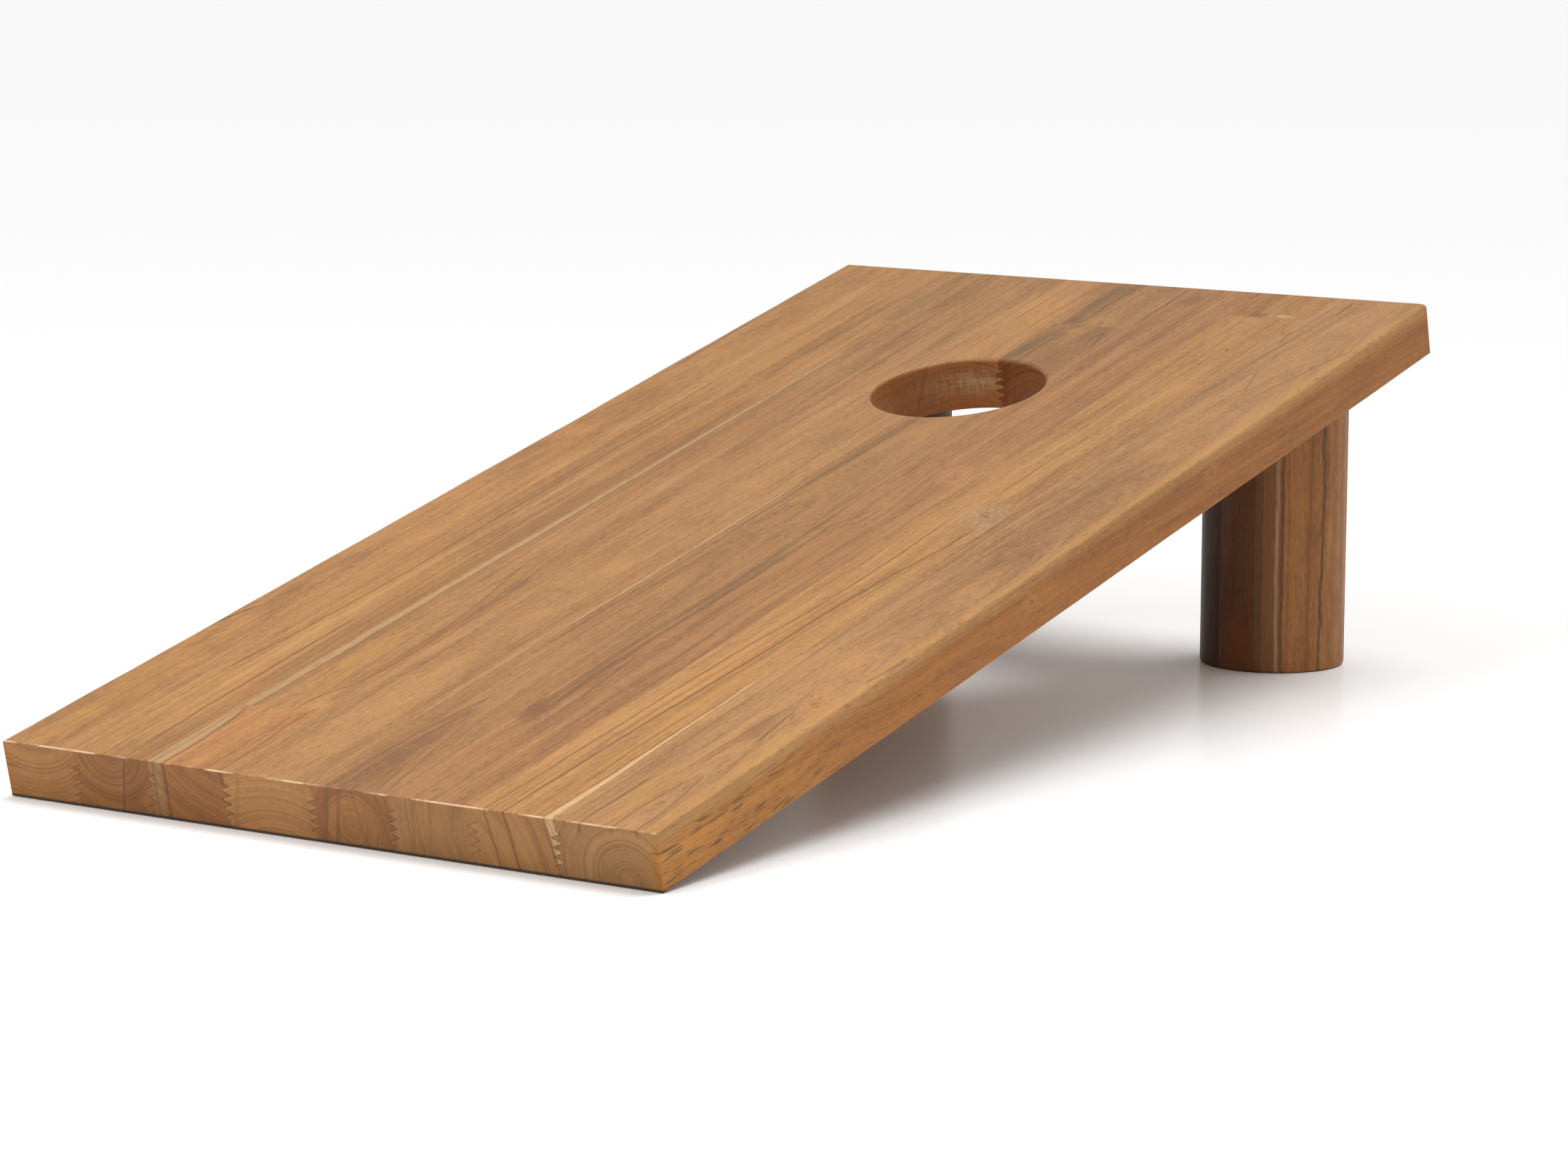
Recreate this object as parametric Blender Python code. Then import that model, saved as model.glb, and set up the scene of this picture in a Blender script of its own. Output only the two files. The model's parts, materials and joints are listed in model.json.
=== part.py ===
"""Cornhole board: a slab of edge-glued teak staves, standing on two laminated round legs.

Sizes are in metres. The deck is drawn flat, with X across it, Y from its front end to its
back end and Z up from its underside, and is then tilted about its lower front edge. The
origin is on the floor, in the middle of the board's outline.
"""

import math

import bmesh
import bpy
from mathutils import Vector

GAP = 0.0003

DECK_LENGTH = 1.2192
DECK_THICKNESS = 0.046
DECK_TILT = math.radians(12.9)
TOP_EDGE_RADIUS = 0.004
UNDER_EDGE_RADIUS = 0.0015

STAVE_WIDTHS = (0.071, 0.074, 0.073, 0.082, 0.073, 0.074, 0.074, 0.0886)
DECK_WIDTH = sum(STAVE_WIDTHS)
THIRD_STAVE_JOINT = 0.117
FIFTH_STAVE_JOINT = DECK_LENGTH - 0.122
SEVENTH_STAVE_JOINT = DECK_LENGTH - 0.067

COMB_START = 0.0071
COMB_FINGERS = 4
COMB_PITCH = 0.0074
COMB_DEPTH = 0.008
COMB_TIP = 0.0010

HOLE_RADIUS = 0.0762
HOLE_CENTRE = DECK_LENGTH - 0.300
HOLE_TOP_RADIUS = 0.004
HOLE_UNDER_RADIUS = 0.0015

LEG_RADIUS = 0.0635
LEG_FOOT_RADIUS = 0.003
LEG_LAYER = 0.0424
LEG_FROM_SIDE = 0.100
LEG_FROM_FRONT = 1.088
LEG_HEIGHT = LEG_FROM_FRONT * math.tan(DECK_TILT)

BOLT_RADIUS = 0.004
BOLT_HEAD_RADIUS = 0.0065
BOLT_HEAD_HEIGHT = 0.008
BOLT_CHAMFER = 0.0008
BOLT_SOCKET_RADIUS = 0.006 / math.sqrt(3)
BOLT_SOCKET_DEPTH = 0.004
BOLT_BORE_RADIUS = 0.0045
COUNTERBORE_RADIUS = 0.013
COUNTERBORE_DEPTH = 0.025
WASHER_RADIUS = 0.012
WASHER_BORE_RADIUS = 0.0043
WASHER_THICKNESS = 0.002
WASHER_CHAMFER = 0.0003
INSERT_RADIUS = 0.006
INSERT_ROOT_RADIUS = 0.0052
INSERT_BORE_RADIUS = 0.0043
INSERT_LENGTH = 0.024
INSERT_RECESS = 0.003
INSERT_RIDGES = 3
INSERT_RIDGE_SHARE = 0.2
DOWEL_RADIUS = 0.005
DOWEL_LENGTH = 0.040
DOWEL_OFFSET = 0.022
DOWEL_CHAMFER = 0.001

ROUND_STEPS = 64
SMALL_STEPS = 16
ARC_STEPS = 3
OVERSHOOT = 0.010
BLIND_END = 3 * GAP

FRONT_EDGE_Y = (DECK_THICKNESS * math.sin(DECK_TILT) - DECK_LENGTH * math.cos(DECK_TILT)) / 2
LEG_Y = FRONT_EDGE_Y + LEG_FROM_FRONT
LEG_X = DECK_WIDTH / 2 - LEG_FROM_SIDE
DECK_NORMAL = Vector((0, -math.sin(DECK_TILT), math.cos(DECK_TILT)))

# Each piece of the deck: its name, its stave, and where along the deck it starts and ends.
# The bag hole cuts the fifth stave in two.
DECK_PIECES = (
    ("deck_stave_1", 1, 0.0, DECK_LENGTH),
    ("deck_stave_2", 2, 0.0, DECK_LENGTH),
    ("deck_stave_3_front", 3, 0.0, THIRD_STAVE_JOINT),
    ("deck_stave_3_rear", 3, THIRD_STAVE_JOINT, DECK_LENGTH),
    ("deck_stave_4", 4, 0.0, DECK_LENGTH),
    ("deck_stave_5_front", 5, 0.0, HOLE_CENTRE),
    ("deck_stave_5_middle", 5, HOLE_CENTRE, FIFTH_STAVE_JOINT),
    ("deck_stave_5_rear", 5, FIFTH_STAVE_JOINT, DECK_LENGTH),
    ("deck_stave_6", 6, 0.0, DECK_LENGTH),
    ("deck_stave_7_front", 7, 0.0, SEVENTH_STAVE_JOINT),
    ("deck_stave_7_rear", 7, SEVENTH_STAVE_JOINT, DECK_LENGTH),
    ("deck_stave_8", 8, 0.0, DECK_LENGTH),
)
STAVES_AT_HOLE = (4, 5, 6)

# Each leg's side, the sign of its X, and the deck piece that its hardware goes into.
LEGS = (("left", -1, "deck_stave_2"), ("right", 1, "deck_stave_7_front"))
LEG_LAYERS = (("outer", 1), ("core", 0), ("inner", -1))

TEAK_ORANGE = (0.50, 0.255, 0.105)
TEAK_TAN = (0.48, 0.265, 0.125)
TEAK_BROWN = (0.40, 0.210, 0.100)
TEAK_GOLDEN = (0.53, 0.300, 0.120)
TEAK_DARK = (0.22, 0.110, 0.055)
BEECH = (0.60, 0.420, 0.260)
STEEL = (0.55, 0.55, 0.56)
BRASS = (0.72, 0.53, 0.24)
STAVE_COLOURS = {
    1: TEAK_ORANGE,
    2: TEAK_ORANGE,
    3: TEAK_TAN,
    4: TEAK_TAN,
    5: TEAK_TAN,
    6: TEAK_BROWN,
    7: TEAK_GOLDEN,
    8: TEAK_BROWN,
}
LAYER_COLOURS = {"outer": TEAK_ORANGE, "core": TEAK_BROWN, "inner": TEAK_DARK}
WOOD_ROUGHNESS = 0.55
METAL_ROUGHNESS = 0.30


def clear_scene():
    for obj in list(bpy.data.objects):
        bpy.data.objects.remove(obj, do_unlink=True)


def material(name, colour, roughness, metallic=0.0):
    made = bpy.data.materials.new(name)
    made.use_nodes = True
    shader = made.node_tree.nodes["Principled BSDF"]
    shader.inputs["Base Color"].default_value = (*colour, 1.0)
    shader.inputs["Roughness"].default_value = roughness
    shader.inputs["Metallic"].default_value = metallic
    return made


def add_empty(name, location, parent=None):
    empty = bpy.data.objects.new(name, None)
    empty.location = location
    empty.parent = parent
    bpy.context.scene.collection.objects.link(empty)
    return empty


def add_object(name, bm, parent, finish=None):
    """Turn a bmesh into a named object that hangs on an empty."""
    bmesh.ops.recalc_face_normals(bm, faces=bm.faces)
    mesh = bpy.data.meshes.new(name)
    bm.to_mesh(mesh)
    bm.free()
    mesh.shade_smooth()
    mesh.set_sharp_from_angle(angle=math.radians(30))
    obj = bpy.data.objects.new(name, mesh)
    obj.parent = parent
    bpy.context.scene.collection.objects.link(obj)
    if finish:
        mesh.materials.append(finish)
    return obj


def as_cutter(obj):
    obj.hide_render = True
    obj.display_type = "WIRE"
    return obj


def cut(obj, cutter):
    boolean = obj.modifiers.new("Cut " + cutter.name, "BOOLEAN")
    boolean.operation = "DIFFERENCE"
    boolean.solver = "EXACT"
    boolean.object = cutter


def arc(centre, radius, start, end, steps):
    """Points of an arc in a plane, between two angles in degrees."""
    points = []
    for step in range(steps + 1):
        angle = math.radians(start + (end - start) * step / steps)
        points.append((centre[0] + radius * math.cos(angle), centre[1] + radius * math.sin(angle)))
    return points


def turned(profile, steps):
    """A solid turned about Z, from (radius, height) points that start and end on the axis or meet."""
    bm = bmesh.new()
    points = [bm.verts.new((radius, 0, height)) for radius, height in profile]
    on_axis = profile[0][0] == 0
    for first, second in zip(points, points[1:]):
        bm.edges.new((first, second))
    if not on_axis:
        bm.edges.new((points[-1], points[0]))
    bmesh.ops.spin(
        bm,
        geom=bm.verts[:] + bm.edges[:],
        cent=(0, 0, 0),
        axis=(0, 0, 1),
        angle=math.tau,
        steps=steps,
        use_merge=True,
    )
    bmesh.ops.remove_doubles(bm, verts=bm.verts, dist=1e-6)
    return bm


def extruded(outline, start, end):
    """A prism along Y, from an outline of (x, z) points."""
    bm = bmesh.new()
    face = bm.faces.new([bm.verts.new((x, start, z)) for x, z in outline])
    grown = bmesh.ops.extrude_face_region(bm, geom=[face])
    moved = [item for item in grown["geom"] if isinstance(item, bmesh.types.BMVert)]
    bmesh.ops.translate(bm, verts=moved, vec=(0, end - start, 0))
    return bm


def keep_below(bm, point, normal):
    """Saw off what lies beyond a plane, and close the cut."""
    bmesh.ops.bisect_plane(
        bm,
        geom=bm.verts[:] + bm.edges[:] + bm.faces[:],
        plane_co=point,
        plane_no=normal,
        clear_outer=True,
    )
    rim = [edge for edge in bm.edges if edge.is_boundary]
    bmesh.ops.contextual_create(bm, geom=rim)


def comb_line(joint_x):
    """The middle of a comb joint between two staves, from the underside to the top."""
    reach = COMB_DEPTH / 2
    line = [(joint_x, 0.0), (joint_x, COMB_START)]
    for finger in range(COMB_FINGERS):
        foot = COMB_START + finger * COMB_PITCH
        line.append((joint_x - reach, foot + COMB_PITCH / 4 - COMB_TIP / 2))
        line.append((joint_x - reach, foot + COMB_PITCH / 4 + COMB_TIP / 2))
        line.append((joint_x + reach, foot + COMB_PITCH * 3 / 4 - COMB_TIP / 2))
        line.append((joint_x + reach, foot + COMB_PITCH * 3 / 4 + COMB_TIP / 2))
    line.append((joint_x, COMB_START + COMB_FINGERS * COMB_PITCH))
    line.append((joint_x, DECK_THICKNESS))
    return line


def set_off(line, distance):
    """A line moved sideways by a distance, to its left when that is positive."""
    points = [Vector(point) for point in line]
    sides = []
    for first, second in zip(points, points[1:]):
        along = (second - first).normalized()
        sides.append(Vector((-along.y, along.x)))
    sides = [sides[0]] + sides + [sides[-1]]
    moved = []
    for point, before, after in zip(points, sides, sides[1:]):
        mitre = (before + after).normalized()
        moved.append(tuple(point + mitre * distance / mitre.dot(before)))
    return moved


def side_line(x, outward):
    """A long outer side of the deck, from the underside to the top, with softened edges."""
    under = arc((0, UNDER_EDGE_RADIUS), UNDER_EDGE_RADIUS, -90, 0, ARC_STEPS)
    top = arc((0, DECK_THICKNESS - TOP_EDGE_RADIUS), TOP_EDGE_RADIUS, 0, 90, ARC_STEPS)
    line = []
    for radius, points in ((UNDER_EDGE_RADIUS, under), (TOP_EDGE_RADIUS, top)):
        for across, height in points:
            line.append((x + outward * (across - radius), height))
    return line


def stave_outline(stave):
    """The cross-section of one stave, with a comb on each glued side."""
    left = sum(STAVE_WIDTHS[: stave - 1]) - DECK_WIDTH / 2
    right = left + STAVE_WIDTHS[stave - 1]
    if stave == 1:
        left_line = side_line(left, -1)
    else:
        left_line = set_off(comb_line(left), -GAP / 2)
    if stave == len(STAVE_WIDTHS):
        right_line = side_line(right, 1)
    else:
        right_line = set_off(comb_line(right), GAP / 2)
    return right_line + left_line[::-1]


def build_deck_piece(name, stave, start, end, deck):
    """One stave, or one length of it, drawn back from any end joint by half a glue gap."""
    near = start + (GAP / 2 if start > 0 else 0)
    far = end - (GAP / 2 if end < DECK_LENGTH else 0)
    finish = material(name + "_teak", STAVE_COLOURS[stave], WOOD_ROUGHNESS)
    return add_object(name, extruded(stave_outline(stave), near, far), deck, finish)


def build_hole_cutter(deck):
    """The bag hole, flared by the rounding of its two rims."""
    under = arc((HOLE_RADIUS + HOLE_UNDER_RADIUS, HOLE_UNDER_RADIUS), HOLE_UNDER_RADIUS, 270, 180, ARC_STEPS)
    top_centre = (HOLE_RADIUS + HOLE_TOP_RADIUS, DECK_THICKNESS - HOLE_TOP_RADIUS)
    top = arc(top_centre, HOLE_TOP_RADIUS, 180, 90, ARC_STEPS)
    profile = [(0, -OVERSHOOT), (HOLE_RADIUS + HOLE_UNDER_RADIUS, -OVERSHOOT)]
    profile += under
    profile += top
    profile += [(HOLE_RADIUS + HOLE_TOP_RADIUS, DECK_THICKNESS + OVERSHOOT)]
    profile += [(0, DECK_THICKNESS + OVERSHOOT)]
    cutter = as_cutter(add_object("hole_cutter", turned(profile, ROUND_STEPS), deck))
    cutter.location = (0, HOLE_CENTRE, 0)
    return cutter


def build_deck(deck):
    """All the staves, as a dictionary of objects by name."""
    hole = build_hole_cutter(deck)
    pieces = {}
    for name, stave, start, end in DECK_PIECES:
        pieces[name] = build_deck_piece(name, stave, start, end, deck)
        if stave in STAVES_AT_HOLE and end > HOLE_CENTRE - HOLE_RADIUS and start <= HOLE_CENTRE:
            cut(pieces[name], hole)
    return pieces


def build_leg_layer(side, layer, place, axis):
    """One of the three glued slices of a round leg. Its top is sawn to the deck's slope."""
    rim = arc((LEG_RADIUS - LEG_FOOT_RADIUS, LEG_FOOT_RADIUS), LEG_FOOT_RADIUS, -90, 0, ARC_STEPS)
    tall = LEG_HEIGHT + LEG_RADIUS
    bm = turned([(0, 0)] + rim + [(LEG_RADIUS, tall), (0, tall)], ROUND_STEPS)
    keep_below(bm, Vector((0, 0, LEG_HEIGHT)) - DECK_NORMAL * GAP, DECK_NORMAL)
    to_right = LEG_LAYER * (place + 0.5) - GAP / 2
    to_left = LEG_LAYER * (place - 0.5) + GAP / 2
    if place < 1:
        keep_below(bm, Vector((to_right, 0, 0)), Vector((1, 0, 0)))
    if place > -1:
        keep_below(bm, Vector((to_left, 0, 0)), Vector((-1, 0, 0)))
    name = f"{side}_leg_{layer}"
    return add_object(name, bm, axis, material(name + "_teak", LAYER_COLOURS[layer], WOOD_ROUGHNESS))


def build_bolt_bore(side, axis):
    """The bolt's hole up the leg, with the pocket for its head and washer."""
    profile = [
        (0, -OVERSHOOT),
        (COUNTERBORE_RADIUS, -OVERSHOOT),
        (COUNTERBORE_RADIUS, COUNTERBORE_DEPTH),
        (BOLT_BORE_RADIUS, COUNTERBORE_DEPTH),
        (BOLT_BORE_RADIUS, LEG_HEIGHT + OVERSHOOT),
        (0, LEG_HEIGHT + OVERSHOOT),
    ]
    return as_cutter(add_object(f"{side}_bolt_bore_cutter", turned(profile, SMALL_STEPS), axis))


def build_insert_pocket(side, axis):
    """The blind hole in the deck's underside that the threaded insert sits in."""
    radius = INSERT_RADIUS + GAP
    top = LEG_HEIGHT + INSERT_RECESS + INSERT_LENGTH + BLIND_END
    profile = [(0, LEG_HEIGHT - OVERSHOOT), (radius, LEG_HEIGHT - OVERSHOOT), (radius, top), (0, top)]
    return as_cutter(add_object(f"{side}_insert_cutter", turned(profile, SMALL_STEPS), axis))


def build_bolt(side, axis, finish):
    """A long socket-head bolt that pulls the leg up against the deck."""
    bearing = COUNTERBORE_DEPTH - WASHER_THICKNESS - 2 * GAP
    tip = LEG_HEIGHT + INSERT_RECESS + INSERT_LENGTH - BOLT_RADIUS / 2
    profile = [
        (0, bearing - BOLT_HEAD_HEIGHT),
        (BOLT_HEAD_RADIUS - BOLT_CHAMFER, bearing - BOLT_HEAD_HEIGHT),
        (BOLT_HEAD_RADIUS, bearing - BOLT_HEAD_HEIGHT + BOLT_CHAMFER),
        (BOLT_HEAD_RADIUS, bearing),
        (BOLT_RADIUS, bearing),
        (BOLT_RADIUS, tip - BOLT_CHAMFER),
        (BOLT_RADIUS - BOLT_CHAMFER, tip),
        (0, tip),
    ]
    bolt = add_object(f"{side}_leg_bolt", turned(profile, SMALL_STEPS), axis, finish)
    floor = bearing - BOLT_HEAD_HEIGHT
    socket = [
        (0, floor - OVERSHOOT),
        (BOLT_SOCKET_RADIUS, floor - OVERSHOOT),
        (BOLT_SOCKET_RADIUS, floor + BOLT_SOCKET_DEPTH),
        (0, floor + BOLT_SOCKET_DEPTH),
    ]
    cut(bolt, as_cutter(add_object(f"{side}_socket_cutter", turned(socket, 6), axis)))
    return bolt


def build_washer(side, axis, finish):
    top = COUNTERBORE_DEPTH - GAP
    under = top - WASHER_THICKNESS
    profile = [
        (WASHER_BORE_RADIUS, under),
        (WASHER_RADIUS - WASHER_CHAMFER, under),
        (WASHER_RADIUS, under + WASHER_CHAMFER),
        (WASHER_RADIUS, top - WASHER_CHAMFER),
        (WASHER_RADIUS - WASHER_CHAMFER, top),
        (WASHER_BORE_RADIUS, top),
    ]
    return add_object(f"{side}_leg_washer", turned(profile, SMALL_STEPS), axis, finish)


def build_insert(side, axis, finish):
    """The threaded insert in the deck, with ridges that grip the wood."""
    foot = LEG_HEIGHT + INSERT_RECESS
    ridge = INSERT_LENGTH / INSERT_RIDGES
    profile = [(INSERT_BORE_RADIUS, foot)]
    for number in range(INSERT_RIDGES):
        start = foot + number * ridge
        profile.append((INSERT_ROOT_RADIUS, start))
        profile.append((INSERT_RADIUS, start + ridge * (1 - INSERT_RIDGE_SHARE) / 2))
        profile.append((INSERT_RADIUS, start + ridge * (1 + INSERT_RIDGE_SHARE) / 2))
    profile.append((INSERT_ROOT_RADIUS, foot + INSERT_LENGTH))
    profile.append((INSERT_BORE_RADIUS, foot + INSERT_LENGTH))
    return add_object(f"{side}_leg_insert", turned(profile, SMALL_STEPS), axis, finish)


def build_dowel(side, place, axis, finish):
    """A locating dowel and the cutter for its hole in the leg and the deck."""
    offset = DOWEL_OFFSET if place == "rear" else -DOWEL_OFFSET
    middle = LEG_HEIGHT + offset * math.tan(DECK_TILT)
    half = DOWEL_LENGTH / 2
    profile = [
        (0, -half),
        (DOWEL_RADIUS - DOWEL_CHAMFER, -half),
        (DOWEL_RADIUS, DOWEL_CHAMFER - half),
        (DOWEL_RADIUS, half - DOWEL_CHAMFER),
        (DOWEL_RADIUS - DOWEL_CHAMFER, half),
        (0, half),
    ]
    dowel = add_object(f"{side}_leg_dowel_{place}", turned(profile, SMALL_STEPS), axis, finish)
    deep = half + BLIND_END
    wide = DOWEL_RADIUS + GAP
    hole = turned([(0, -deep), (wide, -deep), (wide, deep), (0, deep)], SMALL_STEPS)
    cutter = as_cutter(add_object(f"{side}_dowel_{place}_cutter", hole, axis))
    for obj in (dowel, cutter):
        obj.location = (0, offset, middle)
    return cutter


def build_leg(side, sign, held, deck_pieces):
    """A leg's three layers, its hardware, and the holes for them in the leg and the deck."""
    axis = add_empty(f"{side}_leg_axis", (sign * LEG_X, LEG_Y, 0))
    layers = {}
    for layer, place in LEG_LAYERS:
        layers[layer] = build_leg_layer(side, layer, place * sign, axis)
    steel = material(f"{side}_leg_steel", STEEL, METAL_ROUGHNESS, metallic=1.0)
    brass = material(f"{side}_leg_brass", BRASS, METAL_ROUGHNESS, metallic=1.0)
    beech = material(f"{side}_leg_beech", BEECH, WOOD_ROUGHNESS)
    cut(layers["core"], build_bolt_bore(side, axis))
    cut(deck_pieces[held], build_insert_pocket(side, axis))
    build_bolt(side, axis, steel)
    build_washer(side, axis, steel)
    build_insert(side, axis, brass)
    for place in ("front", "rear"):
        cutter = build_dowel(side, place, axis, beech)
        cut(layers["core"], cutter)
        cut(deck_pieces[held], cutter)


def main():
    clear_scene()
    deck = add_empty("deck_tilt", (0, FRONT_EDGE_Y, 0))
    deck.rotation_euler.x = DECK_TILT
    deck_pieces = build_deck(deck)
    for side, sign, held in LEGS:
        build_leg(side, sign, held, deck_pieces)


main()
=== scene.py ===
import json
import math

import bmesh
import bpy
from mathutils import Matrix, Vector
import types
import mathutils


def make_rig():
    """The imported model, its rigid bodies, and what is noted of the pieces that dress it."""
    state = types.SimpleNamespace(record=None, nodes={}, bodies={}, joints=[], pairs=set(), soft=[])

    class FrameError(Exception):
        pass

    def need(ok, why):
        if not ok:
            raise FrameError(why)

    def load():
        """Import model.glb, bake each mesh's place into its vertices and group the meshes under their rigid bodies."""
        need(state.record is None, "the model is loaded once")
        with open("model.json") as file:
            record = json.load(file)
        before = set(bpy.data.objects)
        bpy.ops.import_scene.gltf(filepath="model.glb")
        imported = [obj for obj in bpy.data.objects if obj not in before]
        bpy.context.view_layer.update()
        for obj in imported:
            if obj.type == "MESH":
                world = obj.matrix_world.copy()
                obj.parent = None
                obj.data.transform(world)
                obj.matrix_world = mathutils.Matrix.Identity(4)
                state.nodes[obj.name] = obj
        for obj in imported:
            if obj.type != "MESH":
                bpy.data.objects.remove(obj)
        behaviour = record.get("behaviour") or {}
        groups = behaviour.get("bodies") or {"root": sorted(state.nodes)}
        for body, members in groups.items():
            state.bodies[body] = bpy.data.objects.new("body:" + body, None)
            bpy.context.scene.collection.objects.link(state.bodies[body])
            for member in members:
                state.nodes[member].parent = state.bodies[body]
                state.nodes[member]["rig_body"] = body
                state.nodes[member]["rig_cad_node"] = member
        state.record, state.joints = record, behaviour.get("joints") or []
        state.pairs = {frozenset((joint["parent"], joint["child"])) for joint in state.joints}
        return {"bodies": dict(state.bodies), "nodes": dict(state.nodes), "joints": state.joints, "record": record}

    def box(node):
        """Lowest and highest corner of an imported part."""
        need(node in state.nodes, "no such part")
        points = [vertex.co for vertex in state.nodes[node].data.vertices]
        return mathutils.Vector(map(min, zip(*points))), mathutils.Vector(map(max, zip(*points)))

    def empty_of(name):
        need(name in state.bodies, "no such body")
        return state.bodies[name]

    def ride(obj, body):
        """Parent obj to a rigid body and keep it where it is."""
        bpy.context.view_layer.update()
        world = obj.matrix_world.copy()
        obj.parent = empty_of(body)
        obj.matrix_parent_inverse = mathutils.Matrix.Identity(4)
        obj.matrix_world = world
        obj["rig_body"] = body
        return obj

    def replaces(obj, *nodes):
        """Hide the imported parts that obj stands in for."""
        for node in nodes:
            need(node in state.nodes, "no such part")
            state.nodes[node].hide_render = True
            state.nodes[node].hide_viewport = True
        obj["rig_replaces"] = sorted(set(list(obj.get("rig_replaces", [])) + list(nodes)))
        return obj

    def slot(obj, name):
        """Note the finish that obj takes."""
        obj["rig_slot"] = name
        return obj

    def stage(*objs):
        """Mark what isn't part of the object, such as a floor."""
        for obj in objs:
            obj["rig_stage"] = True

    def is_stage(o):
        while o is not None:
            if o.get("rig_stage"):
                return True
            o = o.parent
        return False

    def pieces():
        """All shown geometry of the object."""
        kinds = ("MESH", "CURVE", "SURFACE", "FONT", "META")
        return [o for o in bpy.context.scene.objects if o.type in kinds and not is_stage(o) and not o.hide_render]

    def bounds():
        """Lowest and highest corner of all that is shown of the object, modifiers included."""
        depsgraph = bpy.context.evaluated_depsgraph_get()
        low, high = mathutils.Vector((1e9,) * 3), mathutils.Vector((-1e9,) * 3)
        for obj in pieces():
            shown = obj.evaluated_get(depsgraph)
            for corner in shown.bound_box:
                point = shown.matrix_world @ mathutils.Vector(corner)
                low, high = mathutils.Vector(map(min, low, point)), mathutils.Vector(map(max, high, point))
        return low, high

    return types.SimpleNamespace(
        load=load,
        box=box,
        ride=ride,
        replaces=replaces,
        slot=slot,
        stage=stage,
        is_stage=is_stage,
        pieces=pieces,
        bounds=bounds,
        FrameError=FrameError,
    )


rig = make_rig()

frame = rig.load()
cad_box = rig.bounds()

# Sizes are in metres. The deck's own axes are X across it, Y from its front end to its back
# end and Z up from its underside.
DECK_TILT = math.radians(12.9)
DECK_LENGTH = 1.2192
DECK_THICKNESS = 0.046
DECK_WIDTH = cad_box[1].x - cad_box[0].x
FRONT_EDGE_Y = cad_box[0].y + DECK_THICKNESS * math.sin(DECK_TILT)
DECK_NORMAL = Vector((0, -math.sin(DECK_TILT), math.cos(DECK_TILT)))
DECK_MATRIX = Matrix.Translation((0, FRONT_EDGE_Y, 0)) @ Matrix.Rotation(DECK_TILT, 4, "X")

GLUE_LINE = 0.00005
COMB_START = 0.0071
COMB_FINGERS = 4
COMB_PITCH = 0.0074
COMB_DEPTH = 0.008
COMB_TIP = 0.0010
COMB_VOID = 0.0005
CAD_GAP = 0.0003
CAD_COMB_REACH = COMB_DEPTH / 2

HOLE_RADIUS = 0.0762
HOLE_CENTRE = DECK_LENGTH - 0.300
HOLE_TOP_RADIUS = 0.0042
HOLE_UNDER_RADIUS = 0.0015
HOLE_STEPS = 240

LEG_RADIUS = 0.0635
LEG_LAYER = 0.0424
LEG_FOOT_RADIUS = 0.0032
LEG_FROM_FRONT = 1.088
LEG_HEIGHT = LEG_FROM_FRONT * math.tan(DECK_TILT)
LEG_Y = FRONT_EDGE_Y + LEG_FROM_FRONT
LEG_X = DECK_WIDTH / 2 - 0.100
LEG_STEPS = 160
FIT = 0.0001
SIDES = (("left", -1), ("right", 1))

COUNTERBORE_RADIUS = 0.013
COUNTERBORE_DEPTH = 0.025
COUNTERBORE_CHAMFER = 0.0006
BOLT_RADIUS = 0.004
BOLT_ROOT_RADIUS = BOLT_RADIUS * 0.85
BOLT_EDGE = 0.0006
BOLT_BORE_RADIUS = 0.0045
BOLT_PITCH = 0.00125
BOLT_THREAD_LENGTH = 0.034
BOLT_HEAD_RADIUS = 0.0065
BOLT_HEAD_HEIGHT = 0.008
BOLT_SOCKET_RADIUS = 0.006 / math.sqrt(3)
BOLT_SOCKET_DEPTH = 0.004
WASHER_RADIUS = 0.012
WASHER_THICKNESS = 0.002
WASHER_EDGE_RADIUS = 0.0005
CAD_BOLT_DROP = COUNTERBORE_DEPTH - 2 * CAD_GAP
INSERT_RADIUS = 0.006
INSERT_RECESS = 0.003
INSERT_LENGTH = 0.024
INSERT_PITCH = 0.0032
INSERT_THREAD_DEPTH = 0.0009
INSERT_BORE_RADIUS = BOLT_RADIUS + CAD_GAP
DOWEL_RADIUS = 0.005
DOWEL_LENGTH = 0.040
DOWEL_OFFSET = 0.022
DOWEL_FLUTES = 12
DOWEL_FLUTE_DEPTH = 0.00035
DOWEL_CHAMFER = 0.001

END_ARRIS = 0.0010
BACK_ARRIS = 0.0030
SIDE_EDGE_AT_FRONT = 0.0022
SIDE_EDGE_GAIN = 0.0032
SIDE_EDGE_GAIN_LENGTH = 0.35
SIDE_EDGE_RIPPLE = 0.0011
SIDE_UNDER_RADIUS = 0.0016
SIDE_UNDER_RIPPLE = 0.0005
SIDE_STATION_SPACING = 0.006

# How far a cutter reaches past what it cuts, and how near two points are to count as one.
BEYOND = 0.010
WELD = 1e-7
SHARP_ANGLE = 32
MM = 1000

# The height that a curve node can hold, and where the mix node has its colour sockets.
CURVE_HEIGHT = 1000.0
MIX_FIRST = 6
MIX_SECOND = 7
MIX_RESULT = 2


# ---------------------------------------------------------------- node graphs


class Signal:
    """A value in a material's nodes, written with ordinary arithmetic."""

    def __init__(self, graph, socket):
        self.graph = graph
        self.socket = socket

    def __add__(self, other):
        return self.graph.math("ADD", self, other)

    def __sub__(self, other):
        return self.graph.math("SUBTRACT", self, other)

    def __rsub__(self, other):
        return self.graph.math("SUBTRACT", other, self)

    def __mul__(self, other):
        return self.graph.math("MULTIPLY", self, other)

    def __truediv__(self, other):
        return self.graph.math("DIVIDE", self, other)

    __radd__ = __add__
    __rmul__ = __mul__


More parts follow.
